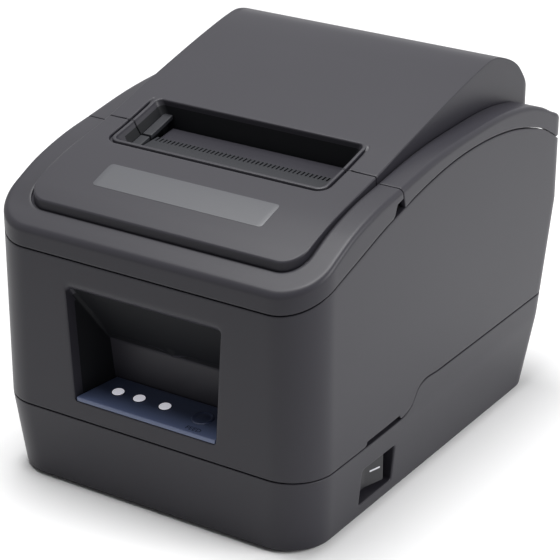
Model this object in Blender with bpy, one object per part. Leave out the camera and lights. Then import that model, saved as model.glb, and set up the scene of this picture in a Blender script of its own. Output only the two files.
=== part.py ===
"""Desktop receipt printer for 80 mm paper: casings, covers, paper path, cutter and electronics.

Metres, +Z up, +X to the right, the front faces -Y. The origin is at the middle of the feet.
Places are given as (across, depth, height): across is X, depth runs back from the front face and
height runs up from the underside of the base casing.
"""

import math

import bmesh
import bpy
from mathutils import Matrix, Vector

MM = 0.001

# Overall sizes
WIDTH = 145 * MM
DEPTH = 201 * MM
FOOT_STAND = 1 * MM  # how far the feet stand below the base casing

# Casing envelope
WALL = 2.2 * MM
SEAM = 0.4 * MM  # gap between two casings that meet
CLEAR = 0.3 * MM  # gap between two pieces that touch
BASE_DRAFT = 3 * MM  # how much the base is drawn in at its underside
BASE_DRAFT_TOP = 31 * MM
BACK_LEAN = 19 * MM  # how far the back leans in at the underside
BACK_LEAN_TOP = 80 * MM
FRONT_CORNER = 17.5 * MM
REAR_CORNER = 11.5 * MM
ENVELOPE_TOP = 160 * MM

# Side profiles, as (depth, height) in millimetres, joined by a smooth curve
SNAP_SLOT = (40.5 * MM, 67.2 * MM)  # from and to, above the switch
SNAP_SLOT_TALL = 1.9 * MM
BASE_SEAM = [(-2, 31), (68, 31.5), (75, 33.6), (80, 39), (86, 41), (95, 40.5), (203, 40.5)]
RING_SEAM = [(-2, 96.8), (0, 97.4), (14, 103.6), (32, 109.5), (58, 117.4), (92, 124.3), (120, 126.1),
             (150, 123.4), (176, 116.2), (187, 110.6), (192, 107.6)]
BODY_REAR = [(195, 106.1), (197, 103.4), (198.5, 100.8), (203, 100.8)]
LID_REAR = [(196, 108.3), (203, 108.4)]
LEDGE_TOP = [(-2, 104.6), (0, 105.6), (5, 108.2), (10, 110.5), (20, 115.6), (31.5, 120.5), (47.5, 124.7),
             (64, 127.2), (92, 130.9), (120, 132.1), (145, 131.7), (165, 128.7), (178, 124.4), (188, 119.5),
             (203, 113.5)]
PANEL_TOP = [(8, 112.5), (17.7, 117.2), (34.4, 122.9), (64, 129.6), (84.5, 135), (111.4, 141.7),
             (130.2, 146), (146.7, 149.2), (155, 149.7), (164.8, 146.9), (174.9, 141.4), (181.3, 134.5),
             (187.6, 126.1), (191, 117)]
COVER_SPLIT = [(64, 160), (64, 127), (65.6, 119.7), (68, 109), (71, 96)]

# Raised panel of the front cover and the lid
RAISED_HALF = 61.1 * MM
RAISED_FRONT = 10 * MM
RAISED_BACK = 190 * MM
RAISED_CORNER = 9 * MM

# Paper slot and tear bar
SLOT_LEFT = -48.8 * MM
SLOT_RIGHT = 46.2 * MM
SLOT_FRONT = 50.5 * MM
SLOT_BACK = 80.5 * MM
SLOT_CORNER = 2.5 * MM
SLOT_WALL = 1.8 * MM
SLOT_BOTTOM = 117 * MM
TEAR_BAR_BACK = 68.4 * MM
TEAR_BAR_TOP = 123 * MM
TEAR_BAR_THICK = 1.2 * MM

# Finger notch below the front cover's rear corners
NOTCH_BACK = 65.5 * MM
NOTCH_FRONT = 57 * MM

# Front window
WINDOW_HALF_TOP = 36 * MM
WINDOW_HALF_BOTTOM = 32.5 * MM
WINDOW_TOP = 87 * MM
WINDOW_DEPTH = 20 * MM
WINDOW_TAPER = 5 * MM
WINDOW_WALL = 1.8 * MM

# Control panel
PANEL_FRONT_HEIGHT = 40.5 * MM
PANEL_SLOPE = math.radians(5.4)
PANEL_THICK = 1.6 * MM
PANEL_ROW = 10.8 * MM  # depth of the row of lenses and the button
LENS_PLACES = {"power_lens": -20 * MM, "error_lens": -10 * MM, "paper_lens": 2 * MM}
LENS_RADIUS = 2.4 * MM
LENS_PROUD = 0.3 * MM
BUTTON_ACROSS = 19.4 * MM
BUTTON_RADIUS = 4.4 * MM
BUTTON_TRAVEL = 0.7 * MM
BUTTON_PROUD = 0.5 * MM
PANEL_BOARD_HEIGHT = 32.6 * MM
PANEL_BOARD_THICK = 1.2 * MM

# Power switch
SWITCH_FRONT = 40.5 * MM
SWITCH_BACK = 64.5 * MM
SWITCH_LOW = 5.5 * MM
SWITCH_HIGH = 21 * MM
SWITCH_RECESS = 8 * MM
SWITCH_SURROUND = 1.8 * MM
SWITCH_BODY = 16 * MM  # how far the switch housing reaches in
SWITCH_FRAME = 1.4 * MM  # housing wall above and below the rocker
ROCKER_AXIS_INSET = 17 * MM  # rocker axis, in from the casing side
ROCKER_HALF = 10.6 * MM
ROCKER_TILT = math.radians(8)
ROCKER_ARC_END = 44  # degrees from the rocker's plane to its crests
ROCKER_DISH = 1.1 * MM  # dip between the crests

# Paper path
PAPER_ACROSS = 0 * MM
PLATEN_DEPTH = 76 * MM
PLATEN_HEIGHT = 100 * MM
PLATEN_RADIUS = 7 * MM
PLATEN_HALF = 41.5 * MM
SHAFT_RADIUS = 3 * MM
FRAME_HALF = 43.5 * MM  # inner faces of the side plates
FRAME_PLATE = 1.2 * MM
FRAME_FRONT = 42 * MM
FRAME_BACK = 92 * MM
FRAME_LOW = 42 * MM
FRAME_HIGH = 107.4 * MM
CROSS_PLATE_DEPTH = 54 * MM
CROSS_PLATE_LOW = 62 * MM
BUSH_RADIUS = 4.5 * MM
ARM_HALF = 45.6 * MM  # inner faces of the lid frame's arms
ARM_THICK = 1.5 * MM
GEAR_START = 47.5 * MM  # inner faces of the gears, from the paper's middle
GEAR_WIDTH = 5 * MM

# Gear train: platen gear, idler and motor pinion
MODULE = 0.8 * MM
PLATEN_TEETH = 22
IDLER_TEETH = 20
PINION_TEETH = 11
IDLER_DIRECTION = math.radians(-90)
PINION_DIRECTION = math.radians(-135)
MOTOR_RADIUS = 11 * MM
MOTOR_LENGTH = 24 * MM
MOTOR_SHAFT = 1.2 * MM

# Frame below the lid, with the fixed blade and the guide that the paper leaves over
LID_FRAME_FRONT = 88 * MM
LID_FRAME_BACK = 98 * MM
LID_FRAME_LOW = 114 * MM
LID_FRAME_TOP = 121 * MM
FIXED_BLADE_HALF = 40 * MM
FIXED_BLADE_FRONT = 70.6 * MM
FIXED_BLADE_LOW = 111.6 * MM
FIXED_BLADE_THICK = 1 * MM
SEAT_HALF = 38 * MM
SEAT_FRONT = 76 * MM
SEAT_TOP = 116 * MM
GUIDE_HALF = 41.1 * MM
GUIDE_FRONT = 70.2 * MM
GUIDE_BACK = 79 * MM
GUIDE_TOP = 123.2 * MM
GUIDE_DROP = 1.3 * MM  # how much lower the guide's front edge is

# Print head
HEAD_HALF = 40 * MM
HEAD_LOW = 88 * MM
HEAD_HIGH = 107 * MM
HEAD_THICK = 1 * MM
SINK_THICK = 3 * MM
HEAD_SPRING_RADIUS = 2.4 * MM
HEAD_SPRING_HEIGHT = 101 * MM

# Cutter
BLADE_HEIGHT = 110.3 * MM
BLADE_THICK = 0.8 * MM
BLADE_EDGE = 66.6 * MM
CUTTER_TEETH = 15
CUTTER_DEPTH = 44 * MM
RACK_SIDE = 0 * MM  # pitch line of the blade's rack, across
CUTTER_PLATE_LOW = 108 * MM
CUTTER_PLATE_THICK = 1.4 * MM
CUTTER_FRONT = 31 * MM
CUTTER_BACK = 67 * MM
CUTTER_MOTOR_RADIUS = 8 * MM
CUTTER_MOTOR_LOW = 88 * MM
BLADE_HALF = 40 * MM
BLADE_SHOULDER = 56 * MM  # front of the wide part of the blade
RACK_BAR = 7 * MM
KEEPER_FRONT = 58 * MM
KEEPER_BACK = 63 * MM
PIN_RADIUS = 1.5 * MM  # posts that the gears turn on

# Lid hinge
HINGE_DEPTH = 197.5 * MM
HINGE_HEIGHT = 105 * MM
HINGE_RADIUS = 3.2 * MM
HINGE_ACROSS = 45 * MM
HINGE_PIN = 1.5 * MM
LUG_HALF = 2 * MM
EAR_THICK = 2.6 * MM

# Front cover hinge
COVER_PIVOT_DEPTH = 8 * MM
COVER_PIVOT_HEIGHT = 68 * MM
COVER_ARM_ACROSS = 60.5 * MM
COVER_ARM_HALF = 1.5 * MM
COVER_PIN = 1.3 * MM

# Paper bucket
ROLL_RADIUS = 42.5 * MM
ROLL_DEPTH = 140 * MM
ROLL_HEIGHT = 84 * MM
BUCKET_HALF = 42 * MM
BUCKET_WALL = 1.8 * MM
DECK_HEIGHT = 97 * MM
DECK_FRONT = 95 * MM
DECK_BACK = 187 * MM
DECK_HALF = 68 * MM

# Main board and the sockets at the back, as (left, right, how tall)
BOARD_LOW = 7.7 * MM
BOARD_THICK = 1.6 * MM
BOARD_FRONT = 96 * MM
BOARD_BACK = 176 * MM
BOARD_HALF = 54 * MM
BOARD_POST_ACROSS = 52 * MM
BOARD_POST_RADIUS = 3 * MM
SOCKETS = {
    "power_inlet": (-52 * MM, -37 * MM, 13 * MM),
    "drawer_port": (-29 * MM, -15 * MM, 14 * MM),
    "usb_port": (-6 * MM, 6 * MM, 11 * MM),
    "serial_port": (16 * MM, 47 * MM, 12 * MM),
}
SOCKET_BACK = 183.4 * MM
SOCKET_START = 160 * MM

# Casing screws and feet
SCREW_PLACES = {"front_left": (-1, 30), "front_right": (1, 30), "rear_left": (-1, 165), "rear_right": (1, 165)}
SCREW_ACROSS = 62 * MM
SCREW_RADIUS = 1.4 * MM
SCREW_HEAD = 2.7 * MM
SCREW_HEAD_THICK = 1.8 * MM
POST_RADIUS = 3.8 * MM
POST_LENGTH = 12 * MM
FOOT_RADIUS = 6 * MM
FOOT_ACROSS = 52 * MM
FOOT_DEPTHS = {"front": 22 * MM, "rear": 158 * MM}
FOOT_RECESS = 0.8 * MM

ROUND = 24  # sides of a small round piece

parts = None
cutters = None
palette = {}


def at(across, depth, height):
    """Point in the object's frame."""
    return Vector((across, depth - DEPTH / 2, height + FOOT_STAND))


def clear_scene():
    """Removes the objects of the open scene and makes the two collections."""
    global parts, cutters
    for obj in list(bpy.data.objects):
        bpy.data.objects.remove(obj, do_unlink=True)
    parts = bpy.data.collections.new("receipt_printer")
    cutters = bpy.data.collections.new("cutters")
    for collection in (parts, cutters):
        bpy.context.scene.collection.children.link(collection)


def linear(channel):
    """One sRGB channel, 0 to 1, as a linear value."""
    return channel / 12.92 if channel <= 0.04045 else ((channel + 0.055) / 1.055) ** 2.4


def make_material(name, hex_colour, roughness, metallic=0.0):
    """Principled material from an sRGB hex colour."""
    made = bpy.data.materials.new(name)
    made.use_nodes = True
    colour = [linear(int(hex_colour[i:i + 2], 16) / 255) for i in (0, 2, 4)]
    shader = made.node_tree.nodes["Principled BSDF"]
    shader.inputs["Base Color"].default_value = (*colour, 1)
    shader.inputs["Roughness"].default_value = roughness
    shader.inputs["Metallic"].default_value = metallic
    made.diffuse_color = (*colour, 1)
    palette[name] = made


def make_palette():
    """The finishes of the pieces."""
    make_material("charcoal_plastic", "4A494D", 0.5)
    make_material("black_plastic", "1B1B1D", 0.5)
    make_material("panel_film", "2C3350", 0.3)
    make_material("lens", "E6E6F2", 0.2)
    make_material("rubber", "232323", 0.8)
    make_material("steel", "A8AAAD", 0.35, 1.0)
    make_material("aluminium", "B9BBBD", 0.4, 1.0)
    make_material("white_acetal", "D9D9D4", 0.45)
    make_material("circuit_board", "1F5A35", 0.45)
    make_material("brass", "B58E4A", 0.35, 1.0)


def finish(name, mesh, colour):
    """Puts a mesh in the scene as a visible piece."""
    obj = bpy.data.objects.new(name, mesh)
    mesh.materials.clear()
    mesh.materials.append(palette[colour])
    parts.objects.link(obj)
    mesh.shade_smooth()
    mesh.set_sharp_from_angle(angle=math.radians(30))
    return obj


def helper(name, mesh):
    """Puts a mesh in the scene as a cutter, which never renders."""
    obj = bpy.data.objects.new(name, mesh)
    obj.hide_render = True
    obj.display_type = "WIRE"
    cutters.objects.link(obj)
    return obj


def boolean(obj, other, operation):
    """Adds an exact Boolean with a helper mesh or object."""
    if isinstance(other, bpy.types.Mesh):
        other = helper(f"{obj.name}_tool_{len(obj.modifiers)}", other)
    modifier = obj.modifiers.new(operation.lower(), "BOOLEAN")
    modifier.operation = operation
    modifier.solver = "EXACT"
    modifier.object = other
    return obj


def cut(obj, *others):
    """Takes the other shapes away from the object."""
    for other in others:
        boolean(obj, other, "DIFFERENCE")
    return obj


def join(obj, *others):
    """Unites the other shapes with the object."""
    for other in others:
        boolean(obj, other, "UNION")
    return obj


def keep(obj, *others):
    """Keeps only what of the object lies inside the other shapes."""
    for other in others:
        boolean(obj, other, "INTERSECT")
    return obj


def mesh_from(bm, name="shape"):
    """Mesh of a bmesh, with its normals facing out."""
    bmesh.ops.recalc_face_normals(bm, faces=bm.faces)
    mesh = bpy.data.meshes.new(name)
    bm.to_mesh(mesh)
    bm.free()
    return mesh


def block(low, high):
    """Box between two corners given as (across, depth, height)."""
    low, high = at(*low), at(*high)
    bm = bmesh.new()
    bmesh.ops.create_cube(bm, size=1.0)
    size = high - low
    bmesh.ops.transform(bm, verts=bm.verts, matrix=Matrix.Translation((low + high) / 2) @ Matrix.Diagonal((*size, 1)))
    return mesh_from(bm)


def rod(start, end, radius, end_radius=None, sides=ROUND):
    """Round bar or cone between two points given as (across, depth, height)."""
    start, end = at(*start), at(*end)
    axis = end - start
    turn = Vector((0, 0, 1)).rotation_difference(axis.normalized()).to_matrix().to_4x4()
    bm = bmesh.new()
    bmesh.ops.create_cone(bm, cap_ends=True, segments=sides, radius1=radius,
                          radius2=radius if end_radius is None else end_radius, depth=axis.length)
    bmesh.ops.transform(bm, verts=bm.verts, matrix=Matrix.Translation((start + end) / 2) @ turn)
    return mesh_from(bm)


def flat_shape(outline, thickness, matrix):
    """Flat outline with a thickness: a filled curve made a mesh. The outline lies in the curve's own XY."""
    curve = bpy.data.curves.new("outline", "CURVE")
    curve.dimensions = "2D"
    curve.fill_mode = "BOTH"
    curve.extrude = thickness / 2
    spline = curve.splines.new("POLY")
    spline.points.add(len(outline) - 1)
    for point, (u, v) in zip(spline.points, outline):
        point.co = (u, v, 0, 1)
    spline.use_cyclic_u = True
    guide = bpy.data.objects.new("outline", curve)
    bpy.context.scene.collection.objects.link(guide)
    mesh = bpy.data.meshes.new_from_object(guide.evaluated_get(bpy.context.evaluated_depsgraph_get()))
    bpy.data.objects.remove(guide)
    bpy.data.curves.remove(curve)
    bm = bmesh.new()
    bm.from_mesh(mesh)
    bpy.data.meshes.remove(mesh)
    bmesh.ops.remove_doubles(bm, verts=bm.verts, dist=1e-6)
    bmesh.ops.transform(bm, verts=bm.verts, matrix=matrix)
    return mesh_from(bm)


def side_shape(outline, left, right):
    """Side profile, as (depth, height) points, carried across from left to right."""
    matrix = Matrix(((0, 0, 1, (left + right) / 2), (1, 0, 0, -DEPTH / 2), (0, 1, 0, FOOT_STAND), (0, 0, 0, 1)))
    return flat_shape(outline, right - left, matrix)


def plan_shape(outline, low, high):
    """Plan outline, as (across, depth) points, carried from one height to another."""
    matrix = Matrix.Translation((0, -DEPTH / 2, (low + high) / 2 + FOOT_STAND))
    return flat_shape(outline, high - low, matrix)


def arc(centre, radius, start, end, steps):
    """Points of an arc, from one angle to another in degrees."""
    angles = [math.radians(start + (end - start) * i / steps) for i in range(steps + 1)]
    return [(centre[0] + radius * math.cos(a), centre[1] + radius * math.sin(a)) for a in angles]


def rounded(left, right, front, back, front_radius, back_radius, steps=5):
    """Plan outline of a rectangle with round corners."""
    return (arc((right - front_radius, front + front_radius), front_radius, -90, 0, steps)
            + arc((right - back_radius, back - back_radius), back_radius, 0, 90, steps)
            + arc((left + back_radius, back - back_radius), back_radius, 90, 180, steps)
            + arc((left + front_radius, front + front_radius), front_radius, 180, 270, steps))


def smooth(points, steps=3):
    """Smooth curve through points given in millimetres, as (depth, height) points in metres.

    Each stretch is a cubic whose slope at a point is that of the line between its two neighbours.
    """
    points = [Vector(p) * MM for p in points]
    slopes = []
    for i, here in enumerate(points):
        before, after = points[max(i - 1, 0)], points[min(i + 1, len(points) - 1)]
        slopes.append((after.y - before.y) / (after.x - before.x))
    curve = []
    for (p, q), (m, n) in zip(zip(points, points[1:]), zip(slopes, slopes[1:])):
        run = q.x - p.x
        count = steps if run > 8 * MM else 1
        for i in range(count):
            t = i / count
            height = ((2 * t ** 3 - 3 * t ** 2 + 1) * p.y + (t ** 3 - 2 * t ** 2 + t) * run * m
                      + (3 * t ** 2 - 2 * t ** 3) * q.y + (t ** 3 - t ** 2) * run * n)
            curve.append((p.x + t * run, height))
    return curve + [tuple(points[-1])]


def below(curve, drop=0.0, floor=-10 * MM):
    """Side profile of all that lies below a curve, lowered by drop."""
    line = [(d, h - drop) for d, h in curve]
    return [(line[0][0], floor)] + line + [(line[-1][0], floor)]


def above(curve, rise=0.0, ceiling=170 * MM):
    """Side profile of all that lies above a curve, raised by rise."""
    line = [(d, h + rise) for d, h in curve]
    return line + [(line[-1][0], ceiling), (line[0][0], ceiling)]


def across_all(outline):
    """Side profile carried well past both sides."""
    return side_shape(outline, -WIDTH, WIDTH)


def casing_section(height, inset):
    """Plan outline of the casing at a height, drawn in by inset."""
    draft = BASE_DRAFT * max(0.0, 1 - height / BASE_DRAFT_TOP)
    lean = BACK_LEAN * max(0.0, 1 - height / BACK_LEAN_TOP)
    half = WIDTH / 2 - draft - inset
    return rounded(-half, half, draft + inset, DEPTH - lean - inset, FRONT_CORNER - inset, REAR_CORNER - inset)


def loft(rings):
    """Closed solid through rings of points, each ring with the same number of points."""
    bm = bmesh.new()
    rows = [[bm.verts.new(p) for p in ring] for ring in rings]
    count = len(rows[0])
    for low, high in zip(rows, rows[1:]):
        for i in range(count):
            j = (i + 1) % count
            bm.faces.new((low[i], low[j], high[j], high[i]))
    bm.faces.new(rows[0][::-1])
    bm.faces.new(rows[-1])
    return mesh_from(bm)


def envelope(inset=0.0, low=0.0, high=ENVELOPE_TOP):
    """Solid of the whole casing, drawn in by inset, from one height to another."""
    heights = [low] + [h for h in (BASE_DRAFT_TOP, BACK_LEAN_TOP) if low < h < high] + [high]
    return loft([[at(x, d, h) for x, d in casing_section(h, inset)] for h in heights])


def raised_plan(inset=0.0):
    """Plan outline of the raised panel."""
    return rounded(-RAISED_HALF + inset, RAISED_HALF - inset, RAISED_FRONT + inset, RAISED_BACK - inset,
                   RAISED_CORNER - inset, RAISED_CORNER - inset)


def pin_hole(obj, start, end, radius):
    """Cuts the hole for a pin or shaft, with clearance."""
    return cut(obj, rod(start, end, radius + CLEAR))


def panel_height(depth):
    """Height of the control panel's face at a depth."""
    return PANEL_FRONT_HEIGHT + depth * math.tan(PANEL_SLOPE)


def gear_outline(teeth, start=0.0, module=MODULE):
    """Outline of a spur gear with straight-sided teeth, a tooth at the angle start."""
    pitch = module * teeth / 2
    tip, root = pitch + 0.9 * module, pitch - 1.15 * module
    step = 2 * math.pi / teeth
    corners = [(-0.27, root), (-0.1, tip), (0.1, tip), (0.27, root)]
    return [(r * math.cos(start + (k + share) * step), r * math.sin(start + (k + share) * step))
            for k in range(teeth) for share, r in corners]


def mesh_start(direction, start, teeth, other_teeth):
    """Angle of a tooth of the second gear that fits the first, whose centre line points in direction."""
    return direction + math.pi + math.pi / other_teeth + (direction - start) * teeth / other_teeth


def gear(outline, centre, inner, outer):
    """Gear mesh on an axis across the object, at (depth, height)."""
    return side_shape([(centre[0] + u, centre[1] + v) for u, v in outline], inner, outer)


def place(depth_height, direction, distance):
    """Point at a distance from another in the side view."""
    return (depth_height[0] + distance * math.cos(direction), depth_height[1] + distance * math.sin(direction))


PLATEN = (PLATEN_DEPTH, PLATEN_HEIGHT)
IDLER = place(PLATEN, IDLER_DIRECTION, MODULE * (PLATEN_TEETH + IDLER_TEETH) / 2)
PINION = place(IDLER, PINION_DIRECTION, MODULE * (IDLER_TEETH + PINION_TEETH) / 2)
IDLER_START = mesh_start(IDLER_DIRECTION, 0.0, PLATEN_TEETH, IDLER_TEETH)
PINION_START = mesh_start(PINION_DIRECTION, IDLER_START, IDLER_TEETH, PINION_TEETH)
CUTTER_PITCH = MODULE * CUTTER_TEETH / 2
CUTTER_ACROSS = RACK_SIDE + CUTTER_PITCH
ROCKER_AXIS = WIDTH / 2 - ROCKER_AXIS_INSET
ROCKER_DEPTH = (SWITCH_FRONT + SWITCH_BACK) / 2


def paper(offset):
    """Across position from the middle of the paper."""
    return PAPER_ACROSS + offset


def pivot(name, location, pieces):
    """Empty on a joint axis that carries the moving pieces."""
    empty = bpy.data.objects.new(name, None)
    empty.location = location
    empty.empty_display_size = 8 * MM
    parts.objects.link(empty)
    for piece in pieces:
        piece.parent = empty
        piece.matrix_parent_inverse = Matrix.Translation(-location)
    return empty


def base_seam(shift):
    """Seam line between the base and the main casing, moved up or down."""
    return [(d, h + shift) for d, h in smooth(BASE_SEAM)]


def screw_post_top(depth):
    """Height at which the base's screw post ends, below the seam at that depth."""
    return 38 * MM if depth > 84 * MM else 28.5 * MM


def make_base_casing():
    """Lower tray with the switch recess, posts and socket openings."""
    base = finish("base_casing", envelope(0.0, 0.0, 60 * MM), "charcoal_plastic")
    cut(base, envelope(WALL, WALL, 61 * MM), across_all(above(base_seam(-SEAM / 2))))
    join(base, block((WIDTH / 2 - SWITCH_RECESS - 3 * MM, SWITCH_FRONT - SWITCH_SURROUND,
                      SWITCH_LOW - SWITCH_SURROUND),
                     (WIDTH / 2 - WALL, SWITCH_BACK + SWITCH_SURROUND, SWITCH_HIGH + SWITCH_SURROUND)))
    cut(base, block((WIDTH / 2 - SWITCH_RECESS - 10 * MM, SWITCH_FRONT, SWITCH_LOW),
                    (WIDTH, SWITCH_BACK, SWITCH_HIGH)))
    for side, depth in SCREW_PLACES.values():
        across, depth = side * SCREW_ACROSS, depth * MM
        join(base, rod((across, depth, WALL / 2), (across, depth, screw_post_top(depth)), POST_RADIUS, sides=12))
        cut(base, rod((across, depth, -1 * MM), (across, depth, 50 * MM), SCREW_RADIUS + CLEAR, sides=12),
            rod((across, depth, -1 * MM), (across, depth, SCREW_HEAD_THICK + CLEAR * 2), SCREW_HEAD + CLEAR, sides=12))
    for side in (-1, 1):
        for depth in (FRAME_FRONT + 6 * MM, FRAME_BACK - 6 * MM):
            across = paper(side * (FRAME_HALF + FRAME_PLATE / 2))
            join(base, rod((across, depth, WALL / 2), (across, depth, FRAME_LOW - CLEAR), POST_RADIUS, sides=12))
        for depth in (BOARD_FRONT + 6 * MM, BOARD_BACK - 10 * MM):
            across = side * BOARD_POST_ACROSS
            join(base, rod((across, depth, WALL / 2), (across, depth, BOARD_LOW - CLEAR), BOARD_POST_RADIUS,
                           sides=10))
        for depth in FOOT_DEPTHS.values():
            across = side * FOOT_ACROSS
            cut(base, rod((across, depth, -1 * MM), (across, depth, FOOT_RECESS), FOOT_RADIUS + CLEAR))
    for left, right, tall in SOCKETS.values():
        low = BOARD_LOW + BOARD_THICK
        cut(base, block((left - CLEAR, SOCKET_START, low), (right + CLEAR, DEPTH + WALL, low + tall + 2 * CLEAR)))


def window_ring(depth, grow):
    """Outline of the front window at a depth, as points, made larger by grow."""
    taper = WINDOW_TAPER * depth / WINDOW_DEPTH
    low = panel_height(depth) - PANEL_THICK - CLEAR - grow
    high = WINDOW_TOP - taper * 0.5 + grow
    top, bottom = WINDOW_HALF_TOP - taper + grow, WINDOW_HALF_BOTTOM - taper + grow
    return [at(-bottom, depth, low), at(bottom, depth, low), at(top, depth, high), at(-top, depth, high)]


def make_main_casing():
    """Middle shell with the front window recess and the hinge ears."""
    casing = finish("main_casing", envelope(0.0, 25 * MM, 135 * MM), "charcoal_plastic")
    cut(casing, envelope(WALL, 24 * MM, 136 * MM))
    join(casing, loft([window_ring(WALL / 2, WINDOW_WALL), window_ring(WINDOW_DEPTH + WINDOW_WALL, WINDOW_WALL)]))
    cut(casing, loft([window_ring(-2 * MM, 0.0), window_ring(WINDOW_DEPTH, 0.0)]),
        block((-27 * MM, 5 * MM, 30 * MM), (27 * MM, 17 * MM, 45 * MM)))
    for side, depth in SCREW_PLACES.values():
        across, depth = side * SCREW_ACROSS, depth * MM
        low = screw_post_top(depth) + 3 * MM
        inner = WIDTH / 2 - WALL / 2
        join(casing, rod((across, depth, low), (across, depth, low + POST_LENGTH), POST_RADIUS, sides=12))
        join(casing, block((min(across, side * inner), depth - MM, low + 1 * MM),
                           (max(across, side * inner), depth + MM, low + POST_LENGTH - 1 * MM)))
        cut(casing, rod((across, depth, 30 * MM), (across, depth, low + POST_LENGTH - 2 * MM),
                        SCREW_RADIUS + CLEAR, sides=12))
    cut(casing, block((WIDTH / 2 - WALL - MM, SNAP_SLOT[0], 25 * MM),
                      (WIDTH / 2 + MM, SNAP_SLOT[1], BASE_SEAM[0][1] * MM + SNAP_SLOT_TALL)))
    rim = smooth(RING_SEAM + BODY_REAR)
    cut(casing, across_all(below(base_seam(SEAM / 2))), across_all(above(rim, -SEAM / 2)))
    for side in (-1, 1):
        start = side * (COVER_ARM_ACROSS + COVER_ARM_HALF + CLEAR)
        end = side * 65.8 * MM
        join(casing, rod((start, COVER_PIVOT_DEPTH, COVER_PIVOT_HEIGHT), (end, COVER_PIVOT_DEPTH, COVER_PIVOT_HEIGHT),
                         3 * MM, sides=16))
        pin_hole(casing, (start - side * MM, COVER_PIVOT_DEPTH, COVER_PIVOT_HEIGHT),
                 (side * 64.8 * MM, COVER_PIVOT_DEPTH, COVER_PIVOT_HEIGHT), COVER_PIN)
        for offset in (-1, 1):
            inner = side * HINGE_ACROSS + offset * (LUG_HALF + CLEAR)
            outer = inner + offset * EAR_THICK
            ear = (arc((HINGE_DEPTH, HINGE_HEIGHT), HINGE_RADIUS, 0, 180, 8)
                   + [(HINGE_DEPTH - HINGE_RADIUS, 96 * MM), (HINGE_DEPTH + 2 * MM, 90 * MM),
                      (HINGE_DEPTH + HINGE_RADIUS, 96 * MM)])
            join(casing, side_shape(ear, min(inner, outer), max(inner, outer)))
        centre = side * HINGE_ACROSS
        reach = LUG_HALF + CLEAR + EAR_THICK + MM
        pin_hole(casing, (centre - reach, HINGE_DEPTH, HINGE_HEIGHT), (centre + reach, HINGE_DEPTH, HINGE_HEIGHT),
                 HINGE_PIN)
        deck_post = side * (DECK_HALF - 3 * MM)
        join(casing, block((min(deck_post, side * inner_wall()), 170 * MM, 86 * MM),
                           (max(deck_post, side * inner_wall()), 176 * MM, DECK_HEIGHT - 2 * MM - CLEAR)))
    for across in (-24 * MM, 24 * MM):
        join(casing, rod((across, 3.6 * MM, PANEL_BOARD_HEIGHT + PANEL_BOARD_THICK + CLEAR),
                         (across, 3.6 * MM, 38 * MM), 1.3 * MM, sides=10))


def inner_wall():
    """Across position inside the side wall's thickness, where a rib joins it."""
    return WIDTH / 2 - WALL / 2


def cover_solid(inset):
    """Solid of both covers: the ledge and the raised panel, drawn in by inset all over."""
    solid = helper(f"cover_solid_{round(inset / MM)}", envelope(inset, 90 * MM, ENVELOPE_TOP))
    keep(solid, across_all(below(smooth(LEDGE_TOP), inset)))
    raised = helper(f"cover_raised_{round(inset / MM)}", plan_shape(raised_plan(inset), 91 * MM, ENVELOPE_TOP))
    keep(raised, across_all(below(smooth(PANEL_TOP), inset)))
    return join(solid, raised)


def slot_plan(grow):
    """Plan outline of the paper slot, made larger by grow."""
    return rounded(SLOT_LEFT - grow, SLOT_RIGHT + grow, SLOT_FRONT - grow, SLOT_BACK + grow,
                   SLOT_CORNER + grow, SLOT_CORNER + grow, 3)


def make_cover_shell(name, outer, inner):
    """Top shell of both covers, before it is split into one of them."""
    shell = finish(name, envelope(0.0, 92 * MM, ENVELOPE_TOP - MM), "charcoal_plastic")
    keep(shell, outer)
    cut(shell, inner)
    throat = helper(f"{name}_throat", plan_shape(slot_plan(SLOT_WALL), SLOT_BOTTOM, ENVELOPE_TOP - MM))
    keep(throat, outer)
    join(shell, throat)
    cut(shell, plan_shape(slot_plan(0.0), SLOT_BOTTOM - MM, ENVELOPE_TOP))
    cut(shell, across_all(below(smooth(RING_SEAM + LID_REAR), -SEAM / 2)))
    return shell


def cover_arm():
    """Side profile of a bent arm of the front cover."""
    path = [(COVER_PIVOT_DEPTH, COVER_PIVOT_HEIGHT), (24 * MM, 76 * MM), (34 * MM, 92 * MM), (34 * MM, 119 * MM)]
    half = 2.4 * MM
    left, right = [], []
    for i, (d, h) in enumerate(path):
        before, after = Vector(path[max(i - 1, 0)]), Vector(path[min(i + 1, len(path) - 1)])
        side = (after - before).normalized().orthogonal() * half
        left.append((d + side.x, h + side.y))
        right.append((d - side.x, h - side.y))
    nose = arc(path[0], half + 0.3 * MM, 120, 300, 8)
    return left[1:] + right[:0:-1] + nose[::-1]


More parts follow.
